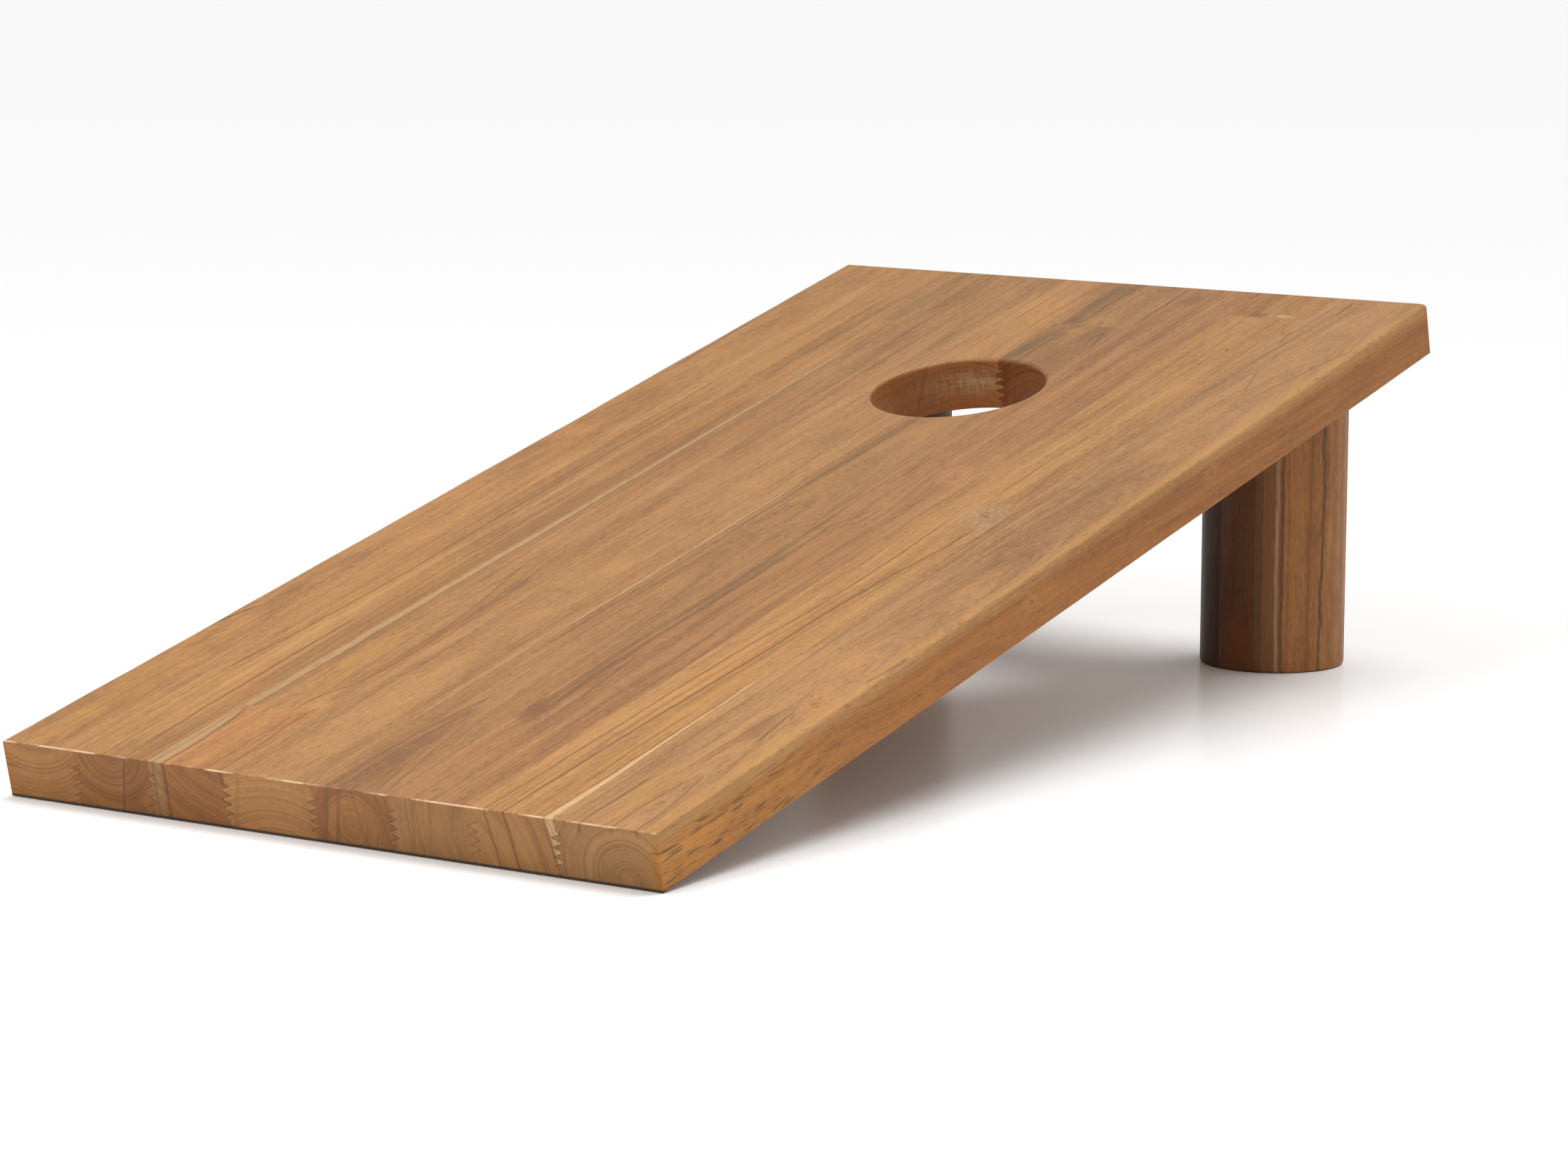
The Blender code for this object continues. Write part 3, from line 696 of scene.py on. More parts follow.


# Each deck piece's wood. Lengths are millimetres: across from the deck's left side, along from
# its front end and, for the pith, up from its underside.
# Each end_shade tints a piece's end grain: its own colour, partly painted shade on the end faces.
DECK_WOOD = {
    "deck_stave_1": dict(
        base=TEAK_ORANGE, pith=(30.0, 92.0), rise=0.016, spacing=9.0, lines=0.22, seed=3.1,
        knots=(knot(5, 729, 6.5, UMBER, PEACH),),
        patches=(
            patch(58, 757, 13, 24, PINKISH, 0.8),
            patch(22, 738, 20, 16, PEACH, 0.5),
            patch(12, 690, 16, 60, UMBER, 0.25),
            patch(22, 330, 8, 45, UMBER, 0.35),
            patch(30, 120, 26, 200, GOLD, 0.45),
        ),
        streaks=(
            line(((900, 11), (1000, 8), (1090, 4)), 1.6, OLIVE, 0.65),
            line(((250, 4), (275, 9), (300, 16)), 1.5, BLACKENED, 0.75, fade=12),
            line(((20, 30), (300, 34), (620, 27)), 1.4, UMBER, 0.35),
            line(((0, 55), (200, 52), (480, 60)), 1.2, UMBER, 0.30, deep=8.0),
            line(((600, 46), (800, 50), (1219, 44)), 7.0, UMBER, 0.14, soft=0.8),
        ),
    ),
    "deck_stave_2": dict(
        base=TEAK_WARM, pith=(108.0, 54.0), spacing=6.5, lines=0.30, seed=9.7, warm=1.2,
        end_shade=(0.82, 0.69, 0.55),
        patches=(patch(95, 320, 14, 210, GOLD, 0.35), patch(90, 1000, 12, 160, GOLD, 0.30)),
        streaks=(
            line(((0, 134), (400, 136), (860, 137)), 8.5, UMBER, 0.42, soft=0.7, ragged=0.3),
            line(((1060, 137), (1130, 136), (1220, 139)), 6.0, GREENISH, 0.75, soft=0.6),
            line(((170, 80), (292, 89), (560, 90), (830, 88)), 0.9, BLACKENED, 0.75),
            line(((0, 79), (120, 80), (260, 82)), 0.8, UMBER, 0.6, deep=10.0),
            line(((0, 122), (150, 117), (310, 116)), 1.1, BLACKENED, 0.65),
            line(((480, 119), (550, 118), (615, 118)), 0.8, UMBER, 0.6),
            line(((100, 100), (500, 101), (900, 99)), 3.0, SAP_PALE, 0.22, soft=0.8),
            line(((900, 112), (1100, 116), (1220, 118)), 2.5, UMBER, 0.30, soft=0.8),
            line(((1118, 145.5), (1219, 145.5)), 0.9, SAP_PALE, 0.8, ragged=0.2),
        ),
    ),
    "deck_stave_3_rear": dict(
        base=TEAK_TAN, pith=(236.0, 110.0), rise=-0.01, spacing=8.0, lines=0.22, seed=14.3, warm=0.6,
        patches=(
            patch(175, 1044, 7, 12, PURPLED, 0.45),
            patch(168, 700, 18, 220, RUSSET, 0.30),
            patch(207, 396, 7, 26, PURPLED, 0.62),
            patch(209, 130, 9, 13, PINKISH, 0.9),
            patch(190, 640, 14, 120, PINKISH, 0.30),
            patch(178, 230, 16, 90, GOLD, 0.5),
        ),
        streaks=(
            line(((100, 149), (500, 149), (985, 147)), ((100, 5.0), (400, 3.4), (980, 2.0)),
                 SAPWOOD, 0.85, soft=0.3, ragged=0.25),
            line(((100, 154.5), (500, 153), (975, 149.5)), 1.0, OLIVE, 0.8),
            line(((110, 158), (480, 158), (900, 156)), 2.4, UMBER, 0.35, soft=0.8),
            line(((282, 208), (350, 198), (450, 179)), 1.0, UMBER, 0.7),
            line(((300, 213), (370, 205), (455, 190)), 0.9, UMBER, 0.55),
            line(((330, 211), (390, 208), (440, 200)), 1.6, PURPLED, 0.5),
            line(((117, 194), (141, 193), (178, 206), (223, 212), (304, 209), (360, 206)), 1.3,
                 RUSSET, 0.85, ragged=0.2),
            line(((117, 189), (145, 188), (178, 200), (223, 206), (304, 203)), 0.8, RUSSET, 0.5),
        ),
    ),
    "deck_stave_3_front": dict(
        base=tinted(TEAK_ORANGE, 1.02, 1.10), pith=(236.0, 110.0), spacing=4.0, lines=0.40, seed=21.9,
        end_shade=(0.80, 0.70, 0.57),
        patches=(patch(205, 60, 9, 40, PEACH, 0.35),),
        streaks=(
            line(((0, 151), (60, 150.5), (117, 147)), ((0, 6.5), (60, 6.5), (117, 2.0)), SAPWOOD, 0.85,
                 soft=0.35, ragged=0.3, lean=-0.03),
            line(((0, 150), (60, 150), (110, 147)), 0.8, OLIVE, 0.6, lean=-0.03),
            line(((0, 160), (60, 158), (100, 154), (117, 149)), 1.2, BLACKENED, 0.7, lean=0.0),
            line(((40, 205), (77, 203), (117, 194)), 1.1, RUSSET, 0.7),
            line(((0, 214), (50, 212), (90, 209)), 1.0, BLACKENED, 0.5),
        ),
    ),
    "deck_stave_4": dict(
        base=tinted(TEAK_TAN, 1.06), pith=(262.0, -60.0), spacing=3.2, lines=0.28, seed=27.7,
        warm=0.9, figure=0.75, end_shade=(1.12, 1.07, 0.98),
        patches=(patch(223, 1028, 6, 34, GREENISH, 0.45), patch(248, 394, 22, 8, UMBER, 0.25)),
        streaks=(
            line(((1090, 256), (1219, 256)), 0.8, UMBER, 0.6),
            line(((900, 259), (1000, 258), (1080, 256)), 0.7, UMBER, 0.4),
            line(((400, 244), (800, 245), (1219, 243)), 0.8, UMBER, 0.35),
            line(((200, 281), (700, 280), (1219, 282)), 0.8, UMBER, 0.40),
            line(((480, 238), (530, 238), (590, 239)), 0.8, UMBER, 0.65),
            line(((0, 232), (200, 234), (380, 231)), 1.6, UMBER, 0.30),
            line(((0, 290), (250, 288), (500, 289)), 3.5, UMBER, 0.22, soft=0.8),
        ),
    ),
    "deck_stave_5_rear": dict(
        base=TEAK_OLIVE, pith=(352.0, -30.0), spacing=5.0, lines=0.30, seed=33.1, warm=0.7,
        knots=(knot(342, 1106, 4.5, UMBER, PINKISH),),
        patches=(patch(314, 1108, 12, 16, PURPLED, 0.8),),
        streaks=(
            line(((1100, 311), (1150, 309), (1219, 309)), ((1097, 4.0), (1150, 6.5), (1219, 7.5)),
                 OLIVE, 0.85, ragged=0.7),
            line(((1105, 322), (1160, 322), (1219, 323)), 1.3, OLIVE, 0.7),
            line(((1120, 333), (1219, 336)), 0.9, UMBER, 0.5),
        ),
    ),
    "deck_stave_5_middle": dict(
        base=tinted(TEAK_OLIVE, 0.92), pith=(352.0, -30.0), spacing=5.0, lines=0.26, seed=39.3, warm=0.7,
        patches=(patch(330, 1082, 12, 10, PINKISH, 0.5),),
        streaks=(
            line(((985, 309), (1040, 310), (1096, 313)), ((985, 5.5), (1040, 5.0), (1096, 2.0)),
                 OLIVE, 0.85, ragged=0.7),
            line(((990, 320), (1050, 319), (1080, 317)), 1.2, OLIVE, 0.7),
            line(((1040, 368), (1060, 364), (1086, 358)), 1.2, BLACKENED, 0.7, fade=10),
        ),
    ),
    "deck_stave_5_front": dict(
        base=tinted(TEAK_TAN, 0.92), pith=(334.0, 16.0), rise=-0.025, spacing=5.0, lines=0.30,
        seed=45.7, warm=0.8, end_shade=(1.00, 0.89, 0.77),
        patches=(patch(334, 90, 13, 95, PURPLED, 0.60), patch(350, 30, 9, 40, UMBER, 0.35)),
        streaks=(
            line(((290, 301.5), (500, 301.5), (672, 301.2)), 0.7, SAP_PALE, 0.8, ragged=0.2),
            line(((650, 311), (760, 312), (850, 312)), ((650, 1.5), (760, 5.0), (850, 4.0)), OLIVE, 0.85,
                 ragged=0.8),
            line(((290, 309), (450, 311), (700, 309)), 0.9, OLIVE, 0.65),
            line(((300, 316), (480, 319), (660, 317)), 0.9, UMBER, 0.60),
            line(((180, 324), (400, 323), (620, 322)), 1.0, UMBER, 0.45),
            line(((0, 316), (80, 318), (160, 327), (190, 334)), 2.2, PURPLED, 0.75),
            line(((0, 327), (80, 327), (150, 333)), 1.7, PURPLED, 0.7),
            line(((0, 368), (40, 361), (90, 352), (150, 344)), 1.4, UMBER, 0.6),
            line(((0, 360), (30, 354), (60, 347)), 1.1, UMBER, 0.6),
            line(((0, 338), (60, 338), (120, 339)), 1.2, UMBER, 0.5),
        ),
    ),
    "deck_stave_6": dict(
        base=TEAK_BROWN, pith=(500.0, 30.0), spacing=5.5, lines=0.28, seed=51.9, warm=0.6,
        end_shade=(1.03, 1.08, 1.02),
        knots=(knot(427, 712, 7.0, RUSSET, PINKISH), knot(376, 178, 7.0, PURPLED, UMBER, bend=0.7)),
        patches=(
            patch(393, 1185, 15, 26, PURPLED, 0.62),
            patch(441, 1105, 4, 45, UMBER, 0.45),
            patch(384, 460, 9, 130, OLIVE, 0.50),
            patch(388, 240, 14, 60, UMBER, 0.50),
            patch(425, 660, 12, 70, RUSSET, 0.25),
            patch(412, 400, 20, 160, PURPLED, 0.14),
        ),
        streaks=(
            line(((1110, 374.5), (1219, 374)), 1.2, BLACKENED, 0.7),
            line(((712, 382), (735, 378), (762, 374)), 0.9, UMBER, 0.7, fade=10),
            line(((700, 388), (728, 383), (756, 378)), 0.9, UMBER, 0.6, fade=10),
            line(((566, 376), (590, 390), (629, 402)), 1.1, UMBER, 0.6, fade=12),
            line(((560, 381), (585, 397), (620, 409)), 0.9, UMBER, 0.5, fade=12),
            line(((180, 380), (300, 377), (450, 379), (612, 376)), ((180, 3), (300, 3.5), (612, 2)),
                 OLIVE, 0.75, ragged=0.8),
            line(((170, 389), (300, 386), (450, 389), (600, 386)), 2.2, OLIVE, 0.6, ragged=0.8),
            line(((160, 402), (230, 400), (310, 393)), 1.8, OLIVE, 0.5),
            line(((60, 430), (260, 426), (520, 430)), 1.2, UMBER, 0.35),
            line(((0, 396), (80, 397), (180, 404)), 1.1, UMBER, 0.35),
        ),
    ),
    "deck_stave_7_rear": dict(
        base=tinted(TEAK_GOLDEN, 0.93, 1.02), pith=(380.0, -30.0), spacing=2.6, lines=0.40, seed=57.3,
        patches=(patch(474, 1158, 10, 8, UMBER, 0.75), patch(500, 1158, 12, 5, SAP_PALE, 0.6)),
    ),
    "deck_stave_7_front": dict(
        base=TEAK_GOLDEN, pith=(380.0, -30.0), spacing=7.0, lines=0.20, seed=63.1, warm=1.2,
        end_shade=(0.96, 0.93, 0.94),
        knots=(knot(507, 632, 8.5, UMBER, SAPWOOD, bend=0.95, reach=3.4),),
        patches=(
            patch(473, 1143, 10, 7, PINKISH, 0.7),
            patch(493, 1062, 2.0, 3.5, BLACKENED, 0.8),
            patch(486, 640, 12, 22, PINKISH, 0.6),
            patch(500, 200, 12, 170, GOLD, 0.45),
            patch(460, 180, 6, 160, PINKISH, 0.30),
        ),
        streaks=(
            line(((680, 486), (720, 486), (755, 487)), 0.9, UMBER, 0.6),
            line(((640, 514), (690, 511), (775, 500)), 1.1, RUSSET, 0.75),
            line(((650, 519), (700, 518), (760, 512)), 1.0, RUSSET, 0.6),
            line(((0, 459), (150, 464), (292, 468), (446, 478), (620, 477)), 1.0, UMBER, 0.8,
                 ragged=0.35),
            line(((0, 476), (223, 484), (292, 488), (446, 494), (577, 508), (612, 509)), 1.3, UMBER, 0.85,
                 ragged=0.25),
            line(((200, 489), (330, 496), (480, 503), (590, 515)), 0.9, RUSSET, 0.6),
            line(((0, 471), (180, 474), (330, 480), (500, 487)), 0.8, UMBER, 0.5, deep=8.0),
            line(((50, 505), (120, 503), (215, 506)), 1.0, UMBER, 0.6),
            line(((0, 498), (100, 496), (180, 497)), 0.8, UMBER, 0.45, deep=8.0),
            line(((0, 517), (120, 517.5), (275, 518)), ((0, 3.6), (120, 1.6), (275, 0.7)), SAP_PALE, 0.9,
                 soft=0.25, ragged=0.1),
            line(((0, 511.5), (120, 514), (250, 516)), 0.8, OLIVE, 0.7),
        ),
    ),
    "deck_stave_8": dict(
        base=tinted(TEAK_GREYED, 1.05), pith=(581.0, 6.0), rise=-0.03, spacing=4.5, lines=0.26,
        seed=69.7, warm=0.7, end_shade=(0.94, 0.95, 0.93),
        knots=(knot(588, 246, 6.0, RUSSET, PEACH, bend=0.7),),
        patches=(
            patch(560, 640, 26, 240, UMBER, 0.30),
            patch(545, 760, 16, 150, PURPLED, 0.22),
            patch(574, 322, 17, 32, PEACH, 0.75),
            patch(573, 190, 14, 30, UMBER, 0.45),
            patch(560, 60, 20, 70, GOLD, 0.40),
        ),
        streaks=(
            # A golden band along the rounded right-hand top edge: sanded colour, partly a painted highlight where the
            # edge catches the light.
            line(((0, 604), (400, 604), (800, 604), (1219, 605)),
                 ((0, 7), (400, 4), (800, 6), (1219, 3)), GOLD, 0.55, soft=0.7, ragged=0.2, deep=9.0),
            line(((1168, 544), (1188, 544), (1206, 543)), 1.2, BLACKENED, 0.75, fade=8),
            line(((1084, 532), (1105, 528), (1124, 525)), 0.9, BLACKENED, 0.7, fade=8),
            line(((950, 578), (1020, 590), (1092, 606)), 1.2, UMBER, 0.6),
            line(((950, 567), (985, 557), (1026, 545)), 1.0, UMBER, 0.6),
            line(((290, 601), (312, 605), (348, 606)), 1.2, BLACKENED, 0.6, fade=8, deep=4.0),
            line(((205, 590), (235, 577), (272, 571)), 1.0, UMBER, 0.6, fade=12),
            line(((60, 560), (160, 566), (272, 576)), 1.0, UMBER, 0.5),
            line(((0, 571), (60, 573), (101, 580)), 1.1, UMBER, 0.65, fade=10, deep=5.0),
            line(((0, 592), (60, 590), (101, 583)), 1.1, UMBER, 0.65, fade=10, deep=5.0),
            line(((165, 586), (190, 584), (222, 580)), 1.3, BLACKENED, 0.6, fade=8),
            line(((0, 544), (45, 545), (92, 547)), 1.4, OLIVE, 0.8, fade=14, deep=7.0),
            line(((300, 532), (520, 530), (800, 534)), 1.4, UMBER, 0.40),
            line(((0, 530), (200, 532), (420, 528)), 1.1, UMBER, 0.40, deep=5.0),
        ),
    ),
}
STAVES = 8


def leg_spot(side):
    """Across the leg's layers from its axis, along it from the foot, and up towards the front."""

    def spot(graph):
        x, y, z = graph.place((-side * LEG_X * MM, -LEG_Y * MM, 0.0))
        return x, z, y * -1.0

    return spot


LEG_UMBER = (0.165, 0.072, 0.028)

# The three layers of a leg, named by side. Lengths are millimetres: across from the leg's axis,
# along from its foot and, for the pith, towards the front.
# Base colours darken from the outer layer to the inner: the layers' own colours, with painted shade on the inner
# layers, which face the shade under the deck.
LEG_WOOD = {
    "outer": dict(
        base=tinted(TEAK_ORANGE, 0.92, 1.25), pith=(130.0, 60.0), spacing=6.0, lines=0.35, seed=81.3,
        streaks=(
            leg_line(((0, 29), (150, 29.5), (300, 29)), 7.8, LEG_UMBER, 0.8, soft=0.15, ragged=0.25),
            leg_line(((0, 33), (130, 32.6), (300, 33.2)), 1.4, (0.46, 0.28, 0.14), 0.8, soft=0.6,
                 ragged=0.5),
            leg_line(((0, 36.8), (150, 36.5), (300, 37)), 0.6, BLACKENED, 0.8, ragged=0.7),
            leg_line(((0, 41), (120, 40.6), (300, 41.2)), 0.5, UMBER, 0.6, ragged=0.9),
            leg_line(((0, 53), (110, 53.6), (210, 54), (300, 53.6)), 0.8, UMBER, 0.7),
            leg_line(((0, 58.7), (120, 59.4), (300, 59.6)), 0.6, BLACKENED, 0.85, ragged=0.3),
            leg_line(((0, 62.6), (150, 62.9), (300, 62.8)), 0.5, UMBER, 0.5),
        ),
    ),
    "core": dict(
        # Dark core: its own colour deepened by painted shade.
        base=(0.135, 0.050, 0.016), pith=(-60.0, 140.0), spacing=5.0, lines=0.35, seed=88.9, warm=0.6,
        patches=(
            patch(-12, 150, 9, 90, (0.13, 0.075, 0.042), 0.55),
            patch(4, 120, 7, 60, OLIVE, 0.35),
            patch(-2, 22, 20, 40, (0.17, 0.055, 0.016), 0.8),
        ),
        streaks=(
            leg_line(((0, 19.5), (150, 19), (300, 19.5)), 4.6, LEG_UMBER, 0.95, soft=0.1, ragged=0.1),
            leg_line(((47, -26), (50, -17), (57, -8), (66, -2), (73, 1), (77, 14)), 2.2, BLACKENED,
                 0.8, soft=0.6, fade=5),
        ),
    ),
    "inner": dict(
        # Nearly black inner layer: its own dark colour deepened by painted shade.
        base=(0.050, 0.016, 0.006), pith=(-150.0, 70.0), spacing=4.5, lines=0.40, seed=94.1, warm=0.5,
        patches=(patch(-32, 120, 8, 70, (0.10, 0.05, 0.03), 0.6),),
        streaks=(line(((0, -30), (150, -29), (300, -31)), 1.5, BLACKENED, 0.5),),
    ),
}


# ---------------------------------------------------------------- shapes


def arc(centre, radius, start, end, steps):
    points = []
    for step in range(steps + 1):
        angle = math.radians(start + (end - start) * step / steps)
        points.append((centre[0] + radius * math.cos(angle), centre[1] + radius * math.sin(angle)))
    return points


def comb_line(joint_x, short_left=0.0, short_right=0.0):
    """A comb joint's line from the underside to the top. Its fingers may stop short of their pockets."""
    left = joint_x - COMB_DEPTH / 2 + short_left
    right = joint_x + COMB_DEPTH / 2 - short_right
    outline = [(joint_x, 0.0), (joint_x, COMB_START)]
    for finger in range(COMB_FINGERS):
        foot = COMB_START + finger * COMB_PITCH
        outline.append((left, foot + COMB_PITCH / 4 - COMB_TIP / 2))
        outline.append((left, foot + COMB_PITCH / 4 + COMB_TIP / 2))
        outline.append((right, foot + COMB_PITCH * 3 / 4 - COMB_TIP / 2))
        outline.append((right, foot + COMB_PITCH * 3 / 4 + COMB_TIP / 2))
    outline.append((joint_x, COMB_START + COMB_FINGERS * COMB_PITCH))
    outline.append((joint_x, DECK_THICKNESS))
    return outline


def set_off(outline, distance):
    """A line moved sideways by a distance, to its left when that is positive."""
    points = [Vector(point) for point in outline]
    sides = []
    for first, second in zip(points, points[1:]):
        run = (second - first).normalized()
        sides.append(Vector((-run.y, run.x)))
    sides = [sides[0]] + sides + [sides[-1]]
    moved = []
    for point, before, after in zip(points, sides, sides[1:]):
        mitre = (before + after).normalized()
        moved.append(tuple(point + mitre * distance / mitre.dot(before)))
    return moved


def ripple(place, seed):
    """A slow, uneven wave between -1 and 1."""
    waves = ((9.0, 0.0, 0.5), (23.0, 1.7, 0.3), (61.0, 4.1, 0.2))
    return sum(weight * math.sin(place * pitch + shift + seed) for pitch, shift, weight in waves)


def outer_side(x, outward, along, seed):
    """A long outer side, from the underside to the top, with edges rounded by hand."""
    gained = SIDE_EDGE_GAIN * min(1.0, along / SIDE_EDGE_GAIN_LENGTH)
    soft = SIDE_EDGE_AT_FRONT + gained + SIDE_EDGE_RIPPLE * ripple(along, seed)
    wide = soft * (1.25 + 0.25 * ripple(along, seed + 2.0))
    under = SIDE_UNDER_RADIUS + SIDE_UNDER_RIPPLE * ripple(along, seed + 5.0)
    outline = []
    for across, height in arc((0, under), under, -90, 0, 6):
        outline.append((x + outward * (across - under), height))
    for across, height in arc((0, 0), 1.0, 0, 90, 10):
        outline.append((x + outward * wide * (across - 1.0), DECK_THICKNESS - soft + soft * height))
    return outline


def end_inset(distance, radius):
    """How far a rounded arris has drawn in, at a distance from the end."""
    if distance >= radius:
        return 0.0
    return radius - math.sqrt(radius**2 - (radius - distance) ** 2)


def stations(start, end, wavy):
    """Where along the deck the cross-sections of a piece lie."""
    places = {start, end}
    if start == 0.0:
        places.update(END_ARRIS * (1 - math.cos(math.radians(angle))) for angle in (0, 25, 45, 65, 90))
    if end == DECK_LENGTH:
        back = (BACK_ARRIS * (1 - math.cos(math.radians(angle))) for angle in (0, 20, 40, 60, 90))
        places.update(end - inset for inset in back)
    if wavy:
        count = int((end - start) / SIDE_STATION_SPACING)
        places.update(start + (end - start) * number / count for number in range(count + 1))
    return sorted(places)


def skin(rings):
    """A closed skin over rows of points, each row a ring."""
    bm = bmesh.new()
    rings = [[bm.verts.new(point) for point in ring] for ring in rings]
    for ring, following in zip(rings, rings[1:]):
        for index in range(len(ring)):
            after = (index + 1) % len(ring)
            bm.faces.new((ring[index], ring[after], following[after], following[index]))
    bm.faces.new(rings[0][::-1])
    bm.faces.new(rings[-1])
    bmesh.ops.recalc_face_normals(bm, faces=bm.faces)
    return bm


def stave_sides(number, left, right, along):
    if number == 1:
        left_line = outer_side(left, -1, along, 0.4)
    else:
        left_line = set_off(comb_line(left, short_left=COMB_VOID), -GLUE_LINE / 2)
    if number == STAVES:
        right_line = outer_side(right, 1, along, 3.0)
    else:
        right_line = set_off(comb_line(right, short_right=COMB_VOID), GLUE_LINE / 2)
    return right_line + left_line[::-1]


def stave_mesh(number, left, right, start, end):
    """A stave as a row of cross-sections, joined into one closed skin, in the deck's axes."""
    rings = []
    for along in stations(start, end, number in (1, STAVES)):
        inset = 0.0
        if start == 0.0:
            inset = max(inset, end_inset(along, END_ARRIS))
        if end == DECK_LENGTH:
            inset = max(inset, end_inset(DECK_LENGTH - along, BACK_ARRIS))
        ring = []
        for x, z in stave_sides(number, left, right, along):
            z = min(max(z, inset), DECK_THICKNESS - inset)
            if number == 1:
                x = max(x, left + inset)
            if number == STAVES:
                x = min(x, right - inset)
            ring.append((x, along, z))
        rings.append(ring)
    return skin(rings)


def turned(profile, steps):
    """A solid turned about Z from (radius, height) points."""
    bm = bmesh.new()
    points = [bm.verts.new((radius, 0, height)) for radius, height in profile]
    for first, second in zip(points, points[1:]):
        bm.edges.new((first, second))
    if profile[0][0] != 0:
        bm.edges.new((points[-1], points[0]))
    bmesh.ops.spin(
        bm,
        geom=bm.verts[:] + bm.edges[:],
        cent=(0, 0, 0),
        axis=(0, 0, 1),
        angle=math.tau,
        steps=steps,
        use_merge=True,
    )
    bmesh.ops.remove_doubles(bm, verts=bm.verts, dist=1e-6)
    bmesh.ops.recalc_face_normals(bm, faces=bm.faces)
    return bm


def add_object(name, bm, finish=None):
    mesh = bpy.data.meshes.new(name)
    bm.to_mesh(mesh)
    bm.free()
    obj = bpy.data.objects.new(name, mesh)
    bpy.context.scene.collection.objects.link(obj)
    if finish:
        mesh.materials.append(finish)
    return obj


def bake_modifiers(obj):
    """Replace an object's mesh by what its modifiers make of it."""
    graph = bpy.context.evaluated_depsgraph_get()
    mesh = bpy.data.meshes.new_from_object(obj.evaluated_get(graph), depsgraph=graph)
    obj.modifiers.clear()
    obj.data = mesh


def combine(obj, other, operation):
    boolean = obj.modifiers.new("boolean", "BOOLEAN")
    boolean.operation = operation
    boolean.solver = "EXACT"
    boolean.object = other
    bake_modifiers(obj)


def cut(obj, cutter):
    combine(obj, cutter, "DIFFERENCE")


def join_into(obj, other):
    combine(obj, other, "UNION")
    bpy.data.objects.remove(other)


def weld(obj):
    """Merge the doubled points that a Boolean leaves where two surfaces nearly meet."""
    bm = bmesh.new()
    bm.from_mesh(obj.data)
    bmesh.ops.remove_doubles(bm, verts=bm.verts, dist=WELD)
    bm.to_mesh(obj.data)
    bm.free()


def smooth(obj):
    """Round shapes shade smoothly, and the large flats next to them stay flat."""
    weld(obj)
    obj.data.shade_smooth()
    obj.data.set_sharp_from_angle(angle=math.radians(SHARP_ANGLE))
    weighted = obj.modifiers.new("weighted normals", "WEIGHTED_NORMAL")
    weighted.keep_sharp = True
    weighted.weight = 100
    bake_modifiers(obj)


def stand_for(piece, node, slot):
    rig.ride(piece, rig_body(node))
    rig.replaces(piece, node)
    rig.slot(piece, slot)


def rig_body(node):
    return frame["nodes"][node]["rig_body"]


def slot_of(node):
    for part in frame["record"]["subparts"]:
        if part["node"] == node:
            return part["material_slot"]
    return None


def put_in_place(piece, node, place):
    """Move a finished shape to its place, where it stands for its CAD solid."""
    piece.data.transform(place)
    smooth(piece)
    stand_for(piece, node, slot_of(node))


# ---------------------------------------------------------------- deck


def hole_cutter():
    under = arc((HOLE_RADIUS + HOLE_UNDER_RADIUS, HOLE_UNDER_RADIUS), HOLE_UNDER_RADIUS, 270, 180, 4)
    top_centre = (HOLE_RADIUS + HOLE_TOP_RADIUS, DECK_THICKNESS - HOLE_TOP_RADIUS)
    top = arc(top_centre, HOLE_TOP_RADIUS, 180, 90, 9)
    high = DECK_THICKNESS + BEYOND
    profile = [(0, -BEYOND), (under[0][0], -BEYOND)] + under + top + [(top[-1][0], high), (0, high)]
    cutter = add_object("hole_cutter", turned(profile, HOLE_STEPS))
    cutter.data.transform(Matrix.Translation((0, HOLE_CENTRE, 0)))
    return cutter


def deck_span(node):
    """Where along the deck a piece starts and ends, less half a glue line at each of its joints."""
    to_deck = DECK_MATRIX.inverted()
    places = [(to_deck @ vertex.co).y for vertex in frame["nodes"][node].data.vertices]
    start, end = min(places), max(places)
    start = 0.0 if start < CAD_GAP else start - CAD_GAP / 2
    end = DECK_LENGTH if end > DECK_LENGTH - CAD_GAP else end + CAD_GAP / 2
    if node == "deck_stave_5_front":
        end = HOLE_CENTRE
    if node == "deck_stave_5_middle":
        start = HOLE_CENTRE
    if start > 0.0:
        start += GLUE_LINE / 2
    if end < DECK_LENGTH:
        end -= GLUE_LINE / 2
    return start, end


def stave_edges():
    """The joints across the deck, from the boxes of the eight staves."""
    edges = [-DECK_WIDTH / 2]
    for number in range(1, STAVES):
        name = next(node for node in sorted(frame["nodes"]) if node.startswith(f"deck_stave_{number}"))
        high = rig.box(name)[1].x
        edges.append(high - CAD_COMB_REACH)
    edges.append(DECK_WIDTH / 2)
    return edges


def marks_and_shade_for(number):
    """A stave's wear and marks, with painted shade and a painted highlight, by its number from the left."""
    if number in (1, STAVES):
        return outer_wood_and_shade
    if number in (5, 6):
        return bored_wood_and_shade
    return scored_wood_and_shade if number == 4 else front_wear_and_shade


def build_stave(node, edges, cutter):
    number = int(node.split("_")[2])
    start, end = deck_span(node)
    finish = teak(node + "_teak", deck_spot, DECK_ALONG, marks_and_shade=marks_and_shade_for(number), **DECK_WOOD[node])
    bm = stave_mesh(number, edges[number - 1], edges[number], start, end)
    piece = add_object(node + "_wood", bm, finish)
    if number in (4, 5, 6) and start < HOLE_CENTRE + HOLE_RADIUS and end > HOLE_CENTRE - HOLE_RADIUS:
        cut(piece, cutter)
    put_in_place(piece, node, DECK_MATRIX)


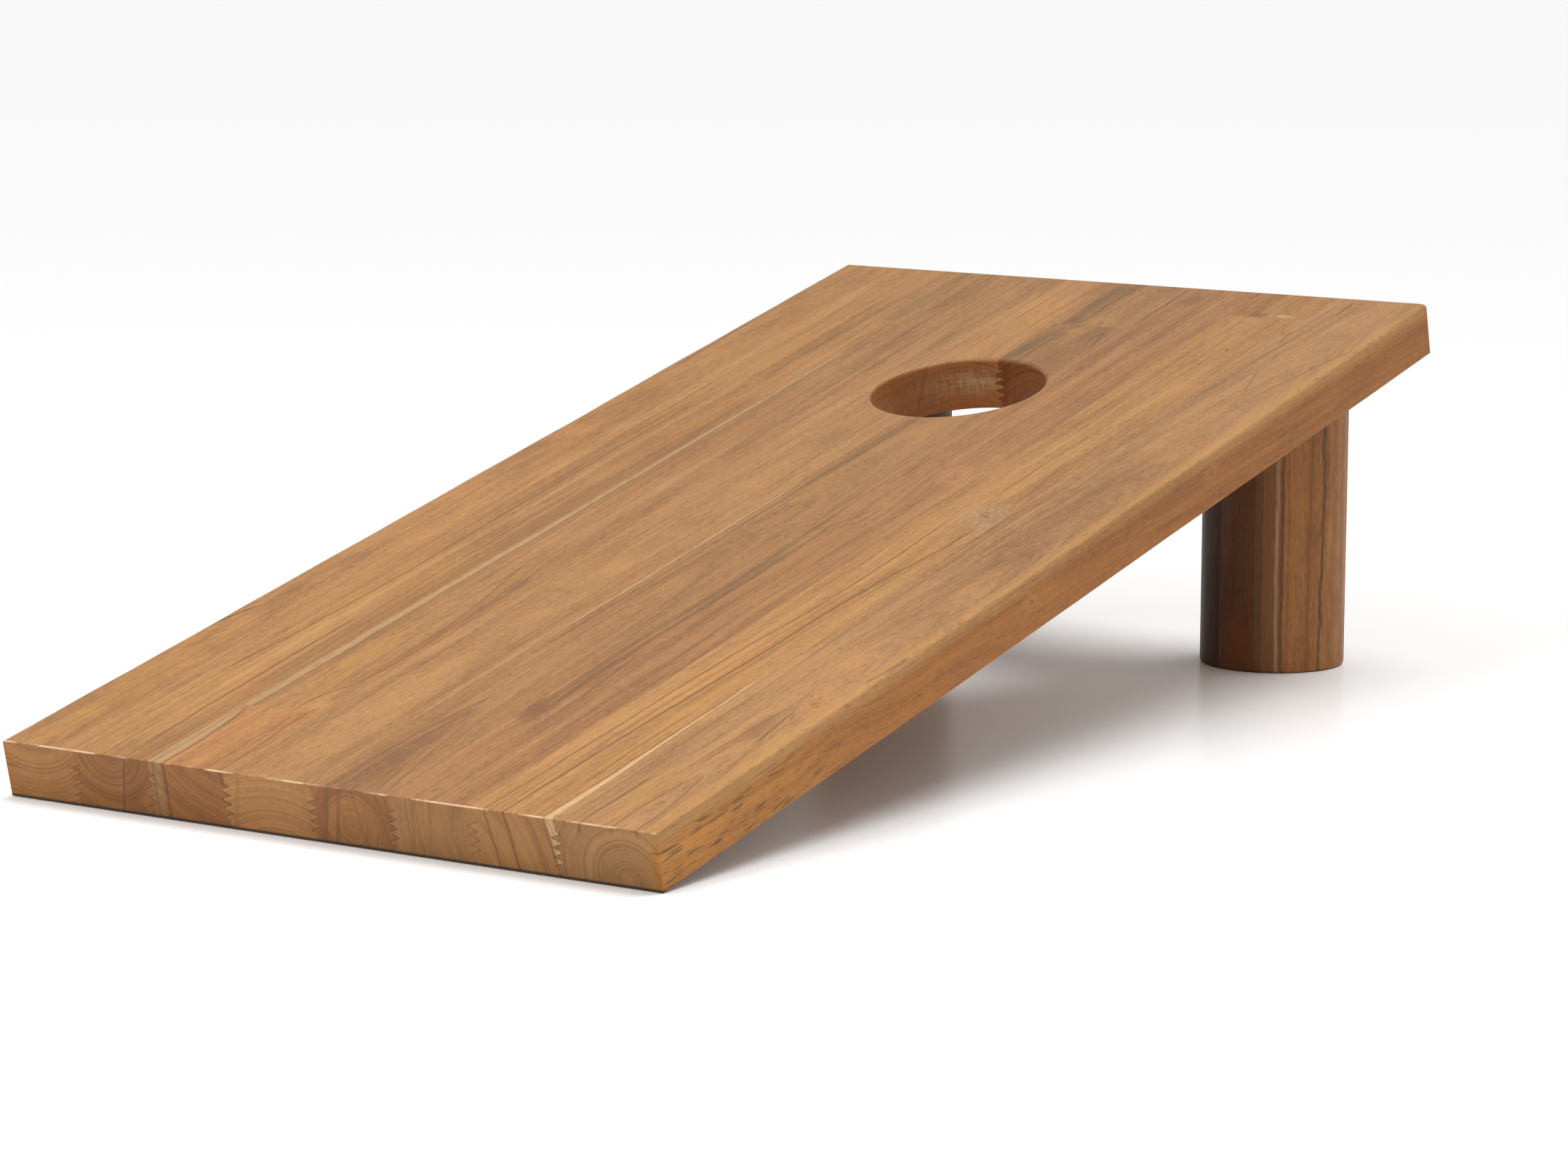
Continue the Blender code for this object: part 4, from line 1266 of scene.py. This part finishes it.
def build_deck():
    cutter = hole_cutter()
    edges = stave_edges()
    for node in sorted(frame["nodes"]):
        if node.startswith("deck_stave_"):
            build_stave(node, edges, cutter)
    bpy.data.objects.remove(cutter)


# ---------------------------------------------------------------- legs


def keep_below(bm, point, normal):
    """Cut a solid by a plane and close it again, keeping what is behind the plane."""
    found = bmesh.ops.bisect_plane(
        bm, geom=bm.verts[:] + bm.edges[:] + bm.faces[:], plane_co=point, plane_no=normal, clear_outer=True
    )
    edges = [item for item in found["geom_cut"] if isinstance(item, bmesh.types.BMEdge)]
    bmesh.ops.contextual_create(bm, geom=edges)


def at_leg(side, y=0.0):
    return Matrix.Translation((side * LEG_X, LEG_Y + y, 0))


def rod(name, radius, low, high, steps=64):
    """A plain round rod about Z."""
    return add_object(name, turned([(0, low), (radius, low), (radius, high), (0, high)], steps))


def leg_cutters(side):
    """The bolt's bore, with the pocket for its head, then the insert's pocket and the two dowel holes."""
    mouth = COUNTERBORE_RADIUS + COUNTERBORE_CHAMFER
    bore = [
        (0, -BEYOND),
        (mouth, -BEYOND),
        (mouth, 0),
        (COUNTERBORE_RADIUS, COUNTERBORE_CHAMFER),
        (COUNTERBORE_RADIUS, COUNTERBORE_DEPTH),
        (BOLT_BORE_RADIUS, COUNTERBORE_DEPTH),
        (BOLT_BORE_RADIUS, LEG_HEIGHT + BEYOND),
        (0, LEG_HEIGHT + BEYOND),
    ]
    top = LEG_HEIGHT + INSERT_RECESS + INSERT_LENGTH + CAD_GAP
    holes = [
        add_object("bore_cutter", turned(bore, 64)),
        rod("pocket_cutter", INSERT_RADIUS + FIT, LEG_HEIGHT - BEYOND, top),
    ]
    for hole in holes:
        hole.data.transform(at_leg(side))
    half = DOWEL_LENGTH / 2 + FIT
    for forward in (-1, 1):
        middle = dowel_middle(forward)
        hole = rod("dowel_cutter", DOWEL_RADIUS + FIT, middle - half, middle + half)
        hole.data.transform(at_leg(side, y=forward * DOWEL_OFFSET))
        holes.append(hole)
    return holes


def dowel_middle(forward):
    """Each dowel is half in the leg and half in the deck, whose underside slopes."""
    return LEG_HEIGHT + forward * DOWEL_OFFSET * math.tan(DECK_TILT)


def build_leg_layer(name, side, layer, place, bore, dowel_holes):
    rim = arc((LEG_RADIUS - LEG_FOOT_RADIUS, LEG_FOOT_RADIUS), LEG_FOOT_RADIUS, -90, 0, 8)
    tall = LEG_HEIGHT + LEG_RADIUS
    bm = turned([(0, 0)] + rim + [(LEG_RADIUS, tall), (0, tall)], LEG_STEPS)
    keep_below(bm, Vector((0, 0, LEG_HEIGHT)) - DECK_NORMAL * GLUE_LINE, DECK_NORMAL)
    face = LEG_LAYER / 2 if place == 0 else -LEG_LAYER / 2
    for way in (1, -1):
        if place * way <= 0:
            keep_below(bm, Vector((way * (face - GLUE_LINE / 2), 0, 0)), Vector((way, 0, 0)))
    bmesh.ops.recalc_face_normals(bm, faces=bm.faces)
    look = dict(LEG_WOOD[layer])
    if side < 0:
        look["seed"] += 40.0
    finish = teak(name + "_teak", leg_spot(side), (0.0, 0.0, 1.0), drawn_at=0.0, **look)
    piece = add_object(name + "_wood", bm, finish)
    piece.data.transform(at_leg(side))
    if layer == "core":
        for hole in [bore] + dowel_holes:
            cut(piece, hole)
    smooth(piece)
    stand_for(piece, name, slot_of(name))


def build_legs():
    for side_name, side in SIDES:
        bore, pocket, *dowel_holes = leg_cutters(side)
        for layer, place in (("outer", 1), ("core", 0), ("inner", -1)):
            build_leg_layer(f"{side_name}_leg_{layer}", side, layer, place * side, bore, dowel_holes)
        stave = "deck_stave_2" if side < 0 else "deck_stave_7_front"
        held = bpy.data.objects[stave + "_wood"]
        for hole in [pocket] + dowel_holes:
            cut(held, hole)
        smooth(held)
        for hole in (bore, pocket, *dowel_holes):
            bpy.data.objects.remove(hole)


# ---------------------------------------------------------------- hardware


def zinc_plate(name):
    graph = Graph(name)
    x, y, z = graph.place()
    cloud = graph.noise(x / 3.0, y / 3.0, z / 3.0, detail=3.0)
    scuff = graph.noise(x * 1.5, y * 1.5, z / 4.0, detail=2.0)
    colour = graph.ramp(cloud, ((0.3, (0.50, 0.50, 0.51)), (0.7, (0.66, 0.66, 0.66))))
    graph.shader.inputs["Metallic"].default_value = 1.0
    return graph.finish(colour, cloud * 0.18 + scuff * 0.14 + 0.16, scuff, 0.00003)


def brass(name):
    graph = Graph(name)
    x, y, z = graph.place()
    cloud = graph.noise(x / 4.0, y / 4.0, z / 4.0, detail=3.0)
    turning = graph.noise(x / 8.0, y / 8.0, z * 3.0, detail=2.0)
    colour = graph.ramp(cloud, ((0.3, (0.60, 0.40, 0.15)), (0.7, (0.76, 0.56, 0.26))))
    graph.shader.inputs["Metallic"].default_value = 1.0
    return graph.finish(colour, turning * 0.25 + 0.18, turning, 0.00003)


def beech(name):
    graph = Graph(name)
    x, y, z = graph.place()
    fibres = graph.noise(x / 0.8, y / 0.8, z / 12.0, detail=3.0)
    flecks = graph.step(graph.noise(x * 2.0, y * 2.0, z / 1.5, detail=1.0), 0.62, 0.75)
    colour = graph.ramp(fibres, ((0.3, (0.50, 0.31, 0.17)), (0.7, (0.66, 0.45, 0.28))))
    colour = graph.blend(flecks * 0.4, colour, (0.34, 0.18, 0.09))
    return graph.finish(colour, fibres * 0.2 + 0.5, fibres, 0.00008)


def threaded(radius, low, high, pitch, depth, steps=36):
    """A closed screw-threaded rod about Z, with a blunt V thread that runs out at both ends."""
    rows = int((high - low) / pitch * 6)
    rings = []
    for row in range(rows + 1):
        height = low + (high - low) * row / rows
        end = min(height - low, high - height) / pitch
        ring = []
        for step in range(steps):
            angle = math.tau * step / steps
            turn = (height / pitch - step / steps) % 1.0
            crest = min(1.0, 1.4 * abs(turn * 2 - 1))
            reach = radius - depth * (1 - crest * min(1.0, end))
            ring.append((reach * math.cos(angle), reach * math.sin(angle), height))
        rings.append(ring)
    return skin(rings)


def build_bolt(name, side):
    """A long socket-head bolt with a cut thread, its head up in the leg's pocket."""
    bearing = CAD_BOLT_DROP - WASHER_THICKNESS
    floor = bearing - BOLT_HEAD_HEIGHT
    tip = LEG_HEIGHT + INSERT_RECESS + INSERT_LENGTH - BOLT_RADIUS / 2
    thread_start = tip - BOLT_THREAD_LENGTH
    edge = BOLT_EDGE
    root = BOLT_ROOT_RADIUS
    profile = [(0, floor), (BOLT_HEAD_RADIUS - edge, floor), (BOLT_HEAD_RADIUS, floor + edge)]
    profile += [(BOLT_HEAD_RADIUS, bearing - edge / 2), (BOLT_HEAD_RADIUS - edge / 2, bearing)]
    profile += [(BOLT_RADIUS, bearing), (BOLT_RADIUS, thread_start), (root, thread_start + edge)]
    profile += [(root, tip - edge), (root - edge, tip), (0, tip)]
    bolt = add_object(name + "_steel", turned(profile, 72), zinc_plate(name + "_zinc"))
    depth = BOLT_RADIUS - root + FIT
    thread = threaded(BOLT_RADIUS, thread_start + edge, tip - edge, BOLT_PITCH, depth)
    join_into(bolt, add_object("thread", thread))
    cutter = rod("socket_cutter", BOLT_SOCKET_RADIUS, floor - BEYOND, floor + BOLT_SOCKET_DEPTH, 6)
    cut(bolt, cutter)
    bpy.data.objects.remove(cutter)
    put_in_place(bolt, name, at_leg(side))


def build_washer(name, side):
    soft = WASHER_EDGE_RADIUS
    top = COUNTERBORE_DEPTH - CAD_GAP
    middle = top - WASHER_THICKNESS / 2
    bore = BOLT_RADIUS + CAD_GAP
    outer = arc((WASHER_RADIUS - soft, middle + WASHER_THICKNESS / 2 - soft), soft, 0, 90, 4)
    inner = arc((bore + soft, middle + WASHER_THICKNESS / 2 - soft), soft, 90, 180, 4)
    upper = outer + inner
    lower = [(radius, 2 * middle - height) for radius, height in reversed(upper)]
    washer = add_object(name + "_steel", turned(upper + lower, 72), zinc_plate(name + "_zinc"))
    put_in_place(washer, name, at_leg(side))


def build_insert(name, side):
    """A brass insert with a coarse wood thread outside and a smooth bore."""
    low = LEG_HEIGHT + INSERT_RECESS
    high = low + INSERT_LENGTH
    shape = threaded(INSERT_RADIUS, low, high, INSERT_PITCH, INSERT_THREAD_DEPTH)
    insert = add_object(name + "_brass", shape, brass(name + "_finish"))
    cutter = rod("insert_bore_cutter", INSERT_BORE_RADIUS, low - BEYOND, high + BEYOND)
    cut(insert, cutter)
    bpy.data.objects.remove(cutter)
    put_in_place(insert, name, at_leg(side))


def build_dowel(name, side, forward):
    """A beech dowel with pressed flutes and chamfered ends."""
    middle = dowel_middle(forward)
    half = DOWEL_LENGTH / 2
    chamfer = DOWEL_CHAMFER
    steps = DOWEL_FLUTES * 6
    rings = []
    for height, shrink in ((-half, chamfer), (chamfer - half, 0), (half - chamfer, 0), (half, chamfer)):
        ring = []
        for step in range(steps):
            angle = math.tau * step / steps
            groove = max(0.0, math.cos(angle * DOWEL_FLUTES)) ** 3 * DOWEL_FLUTE_DEPTH
            reach = DOWEL_RADIUS - shrink - groove
            ring.append((reach * math.cos(angle), reach * math.sin(angle), middle + height))
        rings.append(ring)
    dowel = add_object(name + "_wood", skin(rings), beech(name + "_beech"))
    put_in_place(dowel, name, at_leg(side, y=forward * DOWEL_OFFSET))


def build_hardware():
    for side_name, side in SIDES:
        build_bolt(f"{side_name}_leg_bolt", side)
        build_washer(f"{side_name}_leg_washer", side)
        build_insert(f"{side_name}_leg_insert", side)
        build_dowel(f"{side_name}_leg_dowel_front", side, -1)
        build_dowel(f"{side_name}_leg_dowel_rear", side, 1)


# ---------------------------------------------------------------- stage


FLOOR_REACH = 40
FLOOR_DROP = 0.0002


def build_floor():
    bm = bmesh.new()
    bmesh.ops.create_grid(bm, x_segments=1, y_segments=1, size=FLOOR_REACH)
    graph = Graph("floor_white")
    graph.shader.inputs["Base Color"].default_value = (0.96, 0.96, 0.96, 1.0)
    graph.shader.inputs["Roughness"].default_value = 0.22
    graph.shader.inputs["IOR"].default_value = 1.12
    floor = add_object("floor", bm, graph.material)
    floor.location.z = -FLOOR_DROP
    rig.stage(floor)


def add_light(name, kind, place, target, size, strength):
    light = bpy.data.lights.new(name, kind)
    if kind == "SUN":
        light.angle = size
    else:
        light.shape = "DISK"
        light.size = size
    light.energy = strength
    lamp = bpy.data.objects.new(name, light)
    lamp.location = place
    lamp.rotation_euler = (Vector(target) - Vector(place)).to_track_quat("-Z", "Y").to_euler()
    bpy.context.scene.collection.objects.link(lamp)


ROOM_STRENGTH = 0.56
SUN_STRENGTH = 2.1
SUN_SPREAD = math.radians(40)
LAMP_STRENGTH = 11
LAMP_SIZE = 0.8


def build_light():
    """Soft light from all round, a wide light from above and behind, and a lamp over the front end."""
    world = bpy.data.worlds.new("studio")
    world.use_nodes = True
    world.node_tree.nodes["Background"].inputs["Color"].default_value = (1.0, 1.0, 1.0, 1.0)
    world.node_tree.nodes["Background"].inputs["Strength"].default_value = ROOM_STRENGTH
    bpy.context.scene.world = world
    add_light("overhead", "SUN", (0.7, 1.5, 5), (0, 0, 0), SUN_SPREAD, SUN_STRENGTH)
    add_light("front_lamp", "AREA", (-0.3, -1.1, 1.5), (0, -0.5, 0), LAMP_SIZE, LAMP_STRENGTH)
    bpy.context.scene.view_settings.view_transform = "Standard"


# The viewing angle: turns away from the deck's length, the level and the upright, the focal
# length over the frame's width, and the eye's place from the deck's front left corner.
VIEW_YAW = math.radians(-33.45)
VIEW_PITCH = math.radians(9.14)
VIEW_ROLL = math.radians(0.27)
FRAME_WIDTH = 2212
FOCUS = 7319 / FRAME_WIDTH
SENSOR_WIDTH = 36
EYE_FROM_CORNER = Vector((2.648, -2.934, 0.793))


def build_camera():
    yaw, pitch, roll = VIEW_YAW, VIEW_PITCH, VIEW_ROLL
    corner = Vector((-DECK_WIDTH / 2, FRONT_EDGE_Y, 0))
    forward = Vector((math.sin(yaw) * math.cos(pitch), math.cos(yaw) * math.cos(pitch), -math.sin(pitch)))
    level = Vector((math.cos(yaw), -math.sin(yaw), 0))
    upright = level.cross(forward)
    right = level * math.cos(roll) + upright * math.sin(roll)
    up = upright * math.cos(roll) - level * math.sin(roll)
    turn = Matrix((right, up, -forward)).transposed().to_4x4()
    camera = bpy.data.cameras.new("camera")
    camera.sensor_width = SENSOR_WIDTH
    camera.lens = SENSOR_WIDTH * FOCUS
    camera.clip_end = 200
    eye = bpy.data.objects.new("camera", camera)
    eye.matrix_world = Matrix.Translation(corner + EYE_FROM_CORNER) @ turn
    bpy.context.scene.collection.objects.link(eye)
    bpy.context.scene.camera = eye


def write_sizes():
    sizes = {"cad": [list(corner) for corner in cad_box], "visual": [list(corner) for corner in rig.bounds()]}
    with open("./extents.json", "w") as out:
        json.dump(sizes, out)


build_camera()
build_light()
build_floor()
build_deck()
build_legs()
build_hardware()
write_sizes()
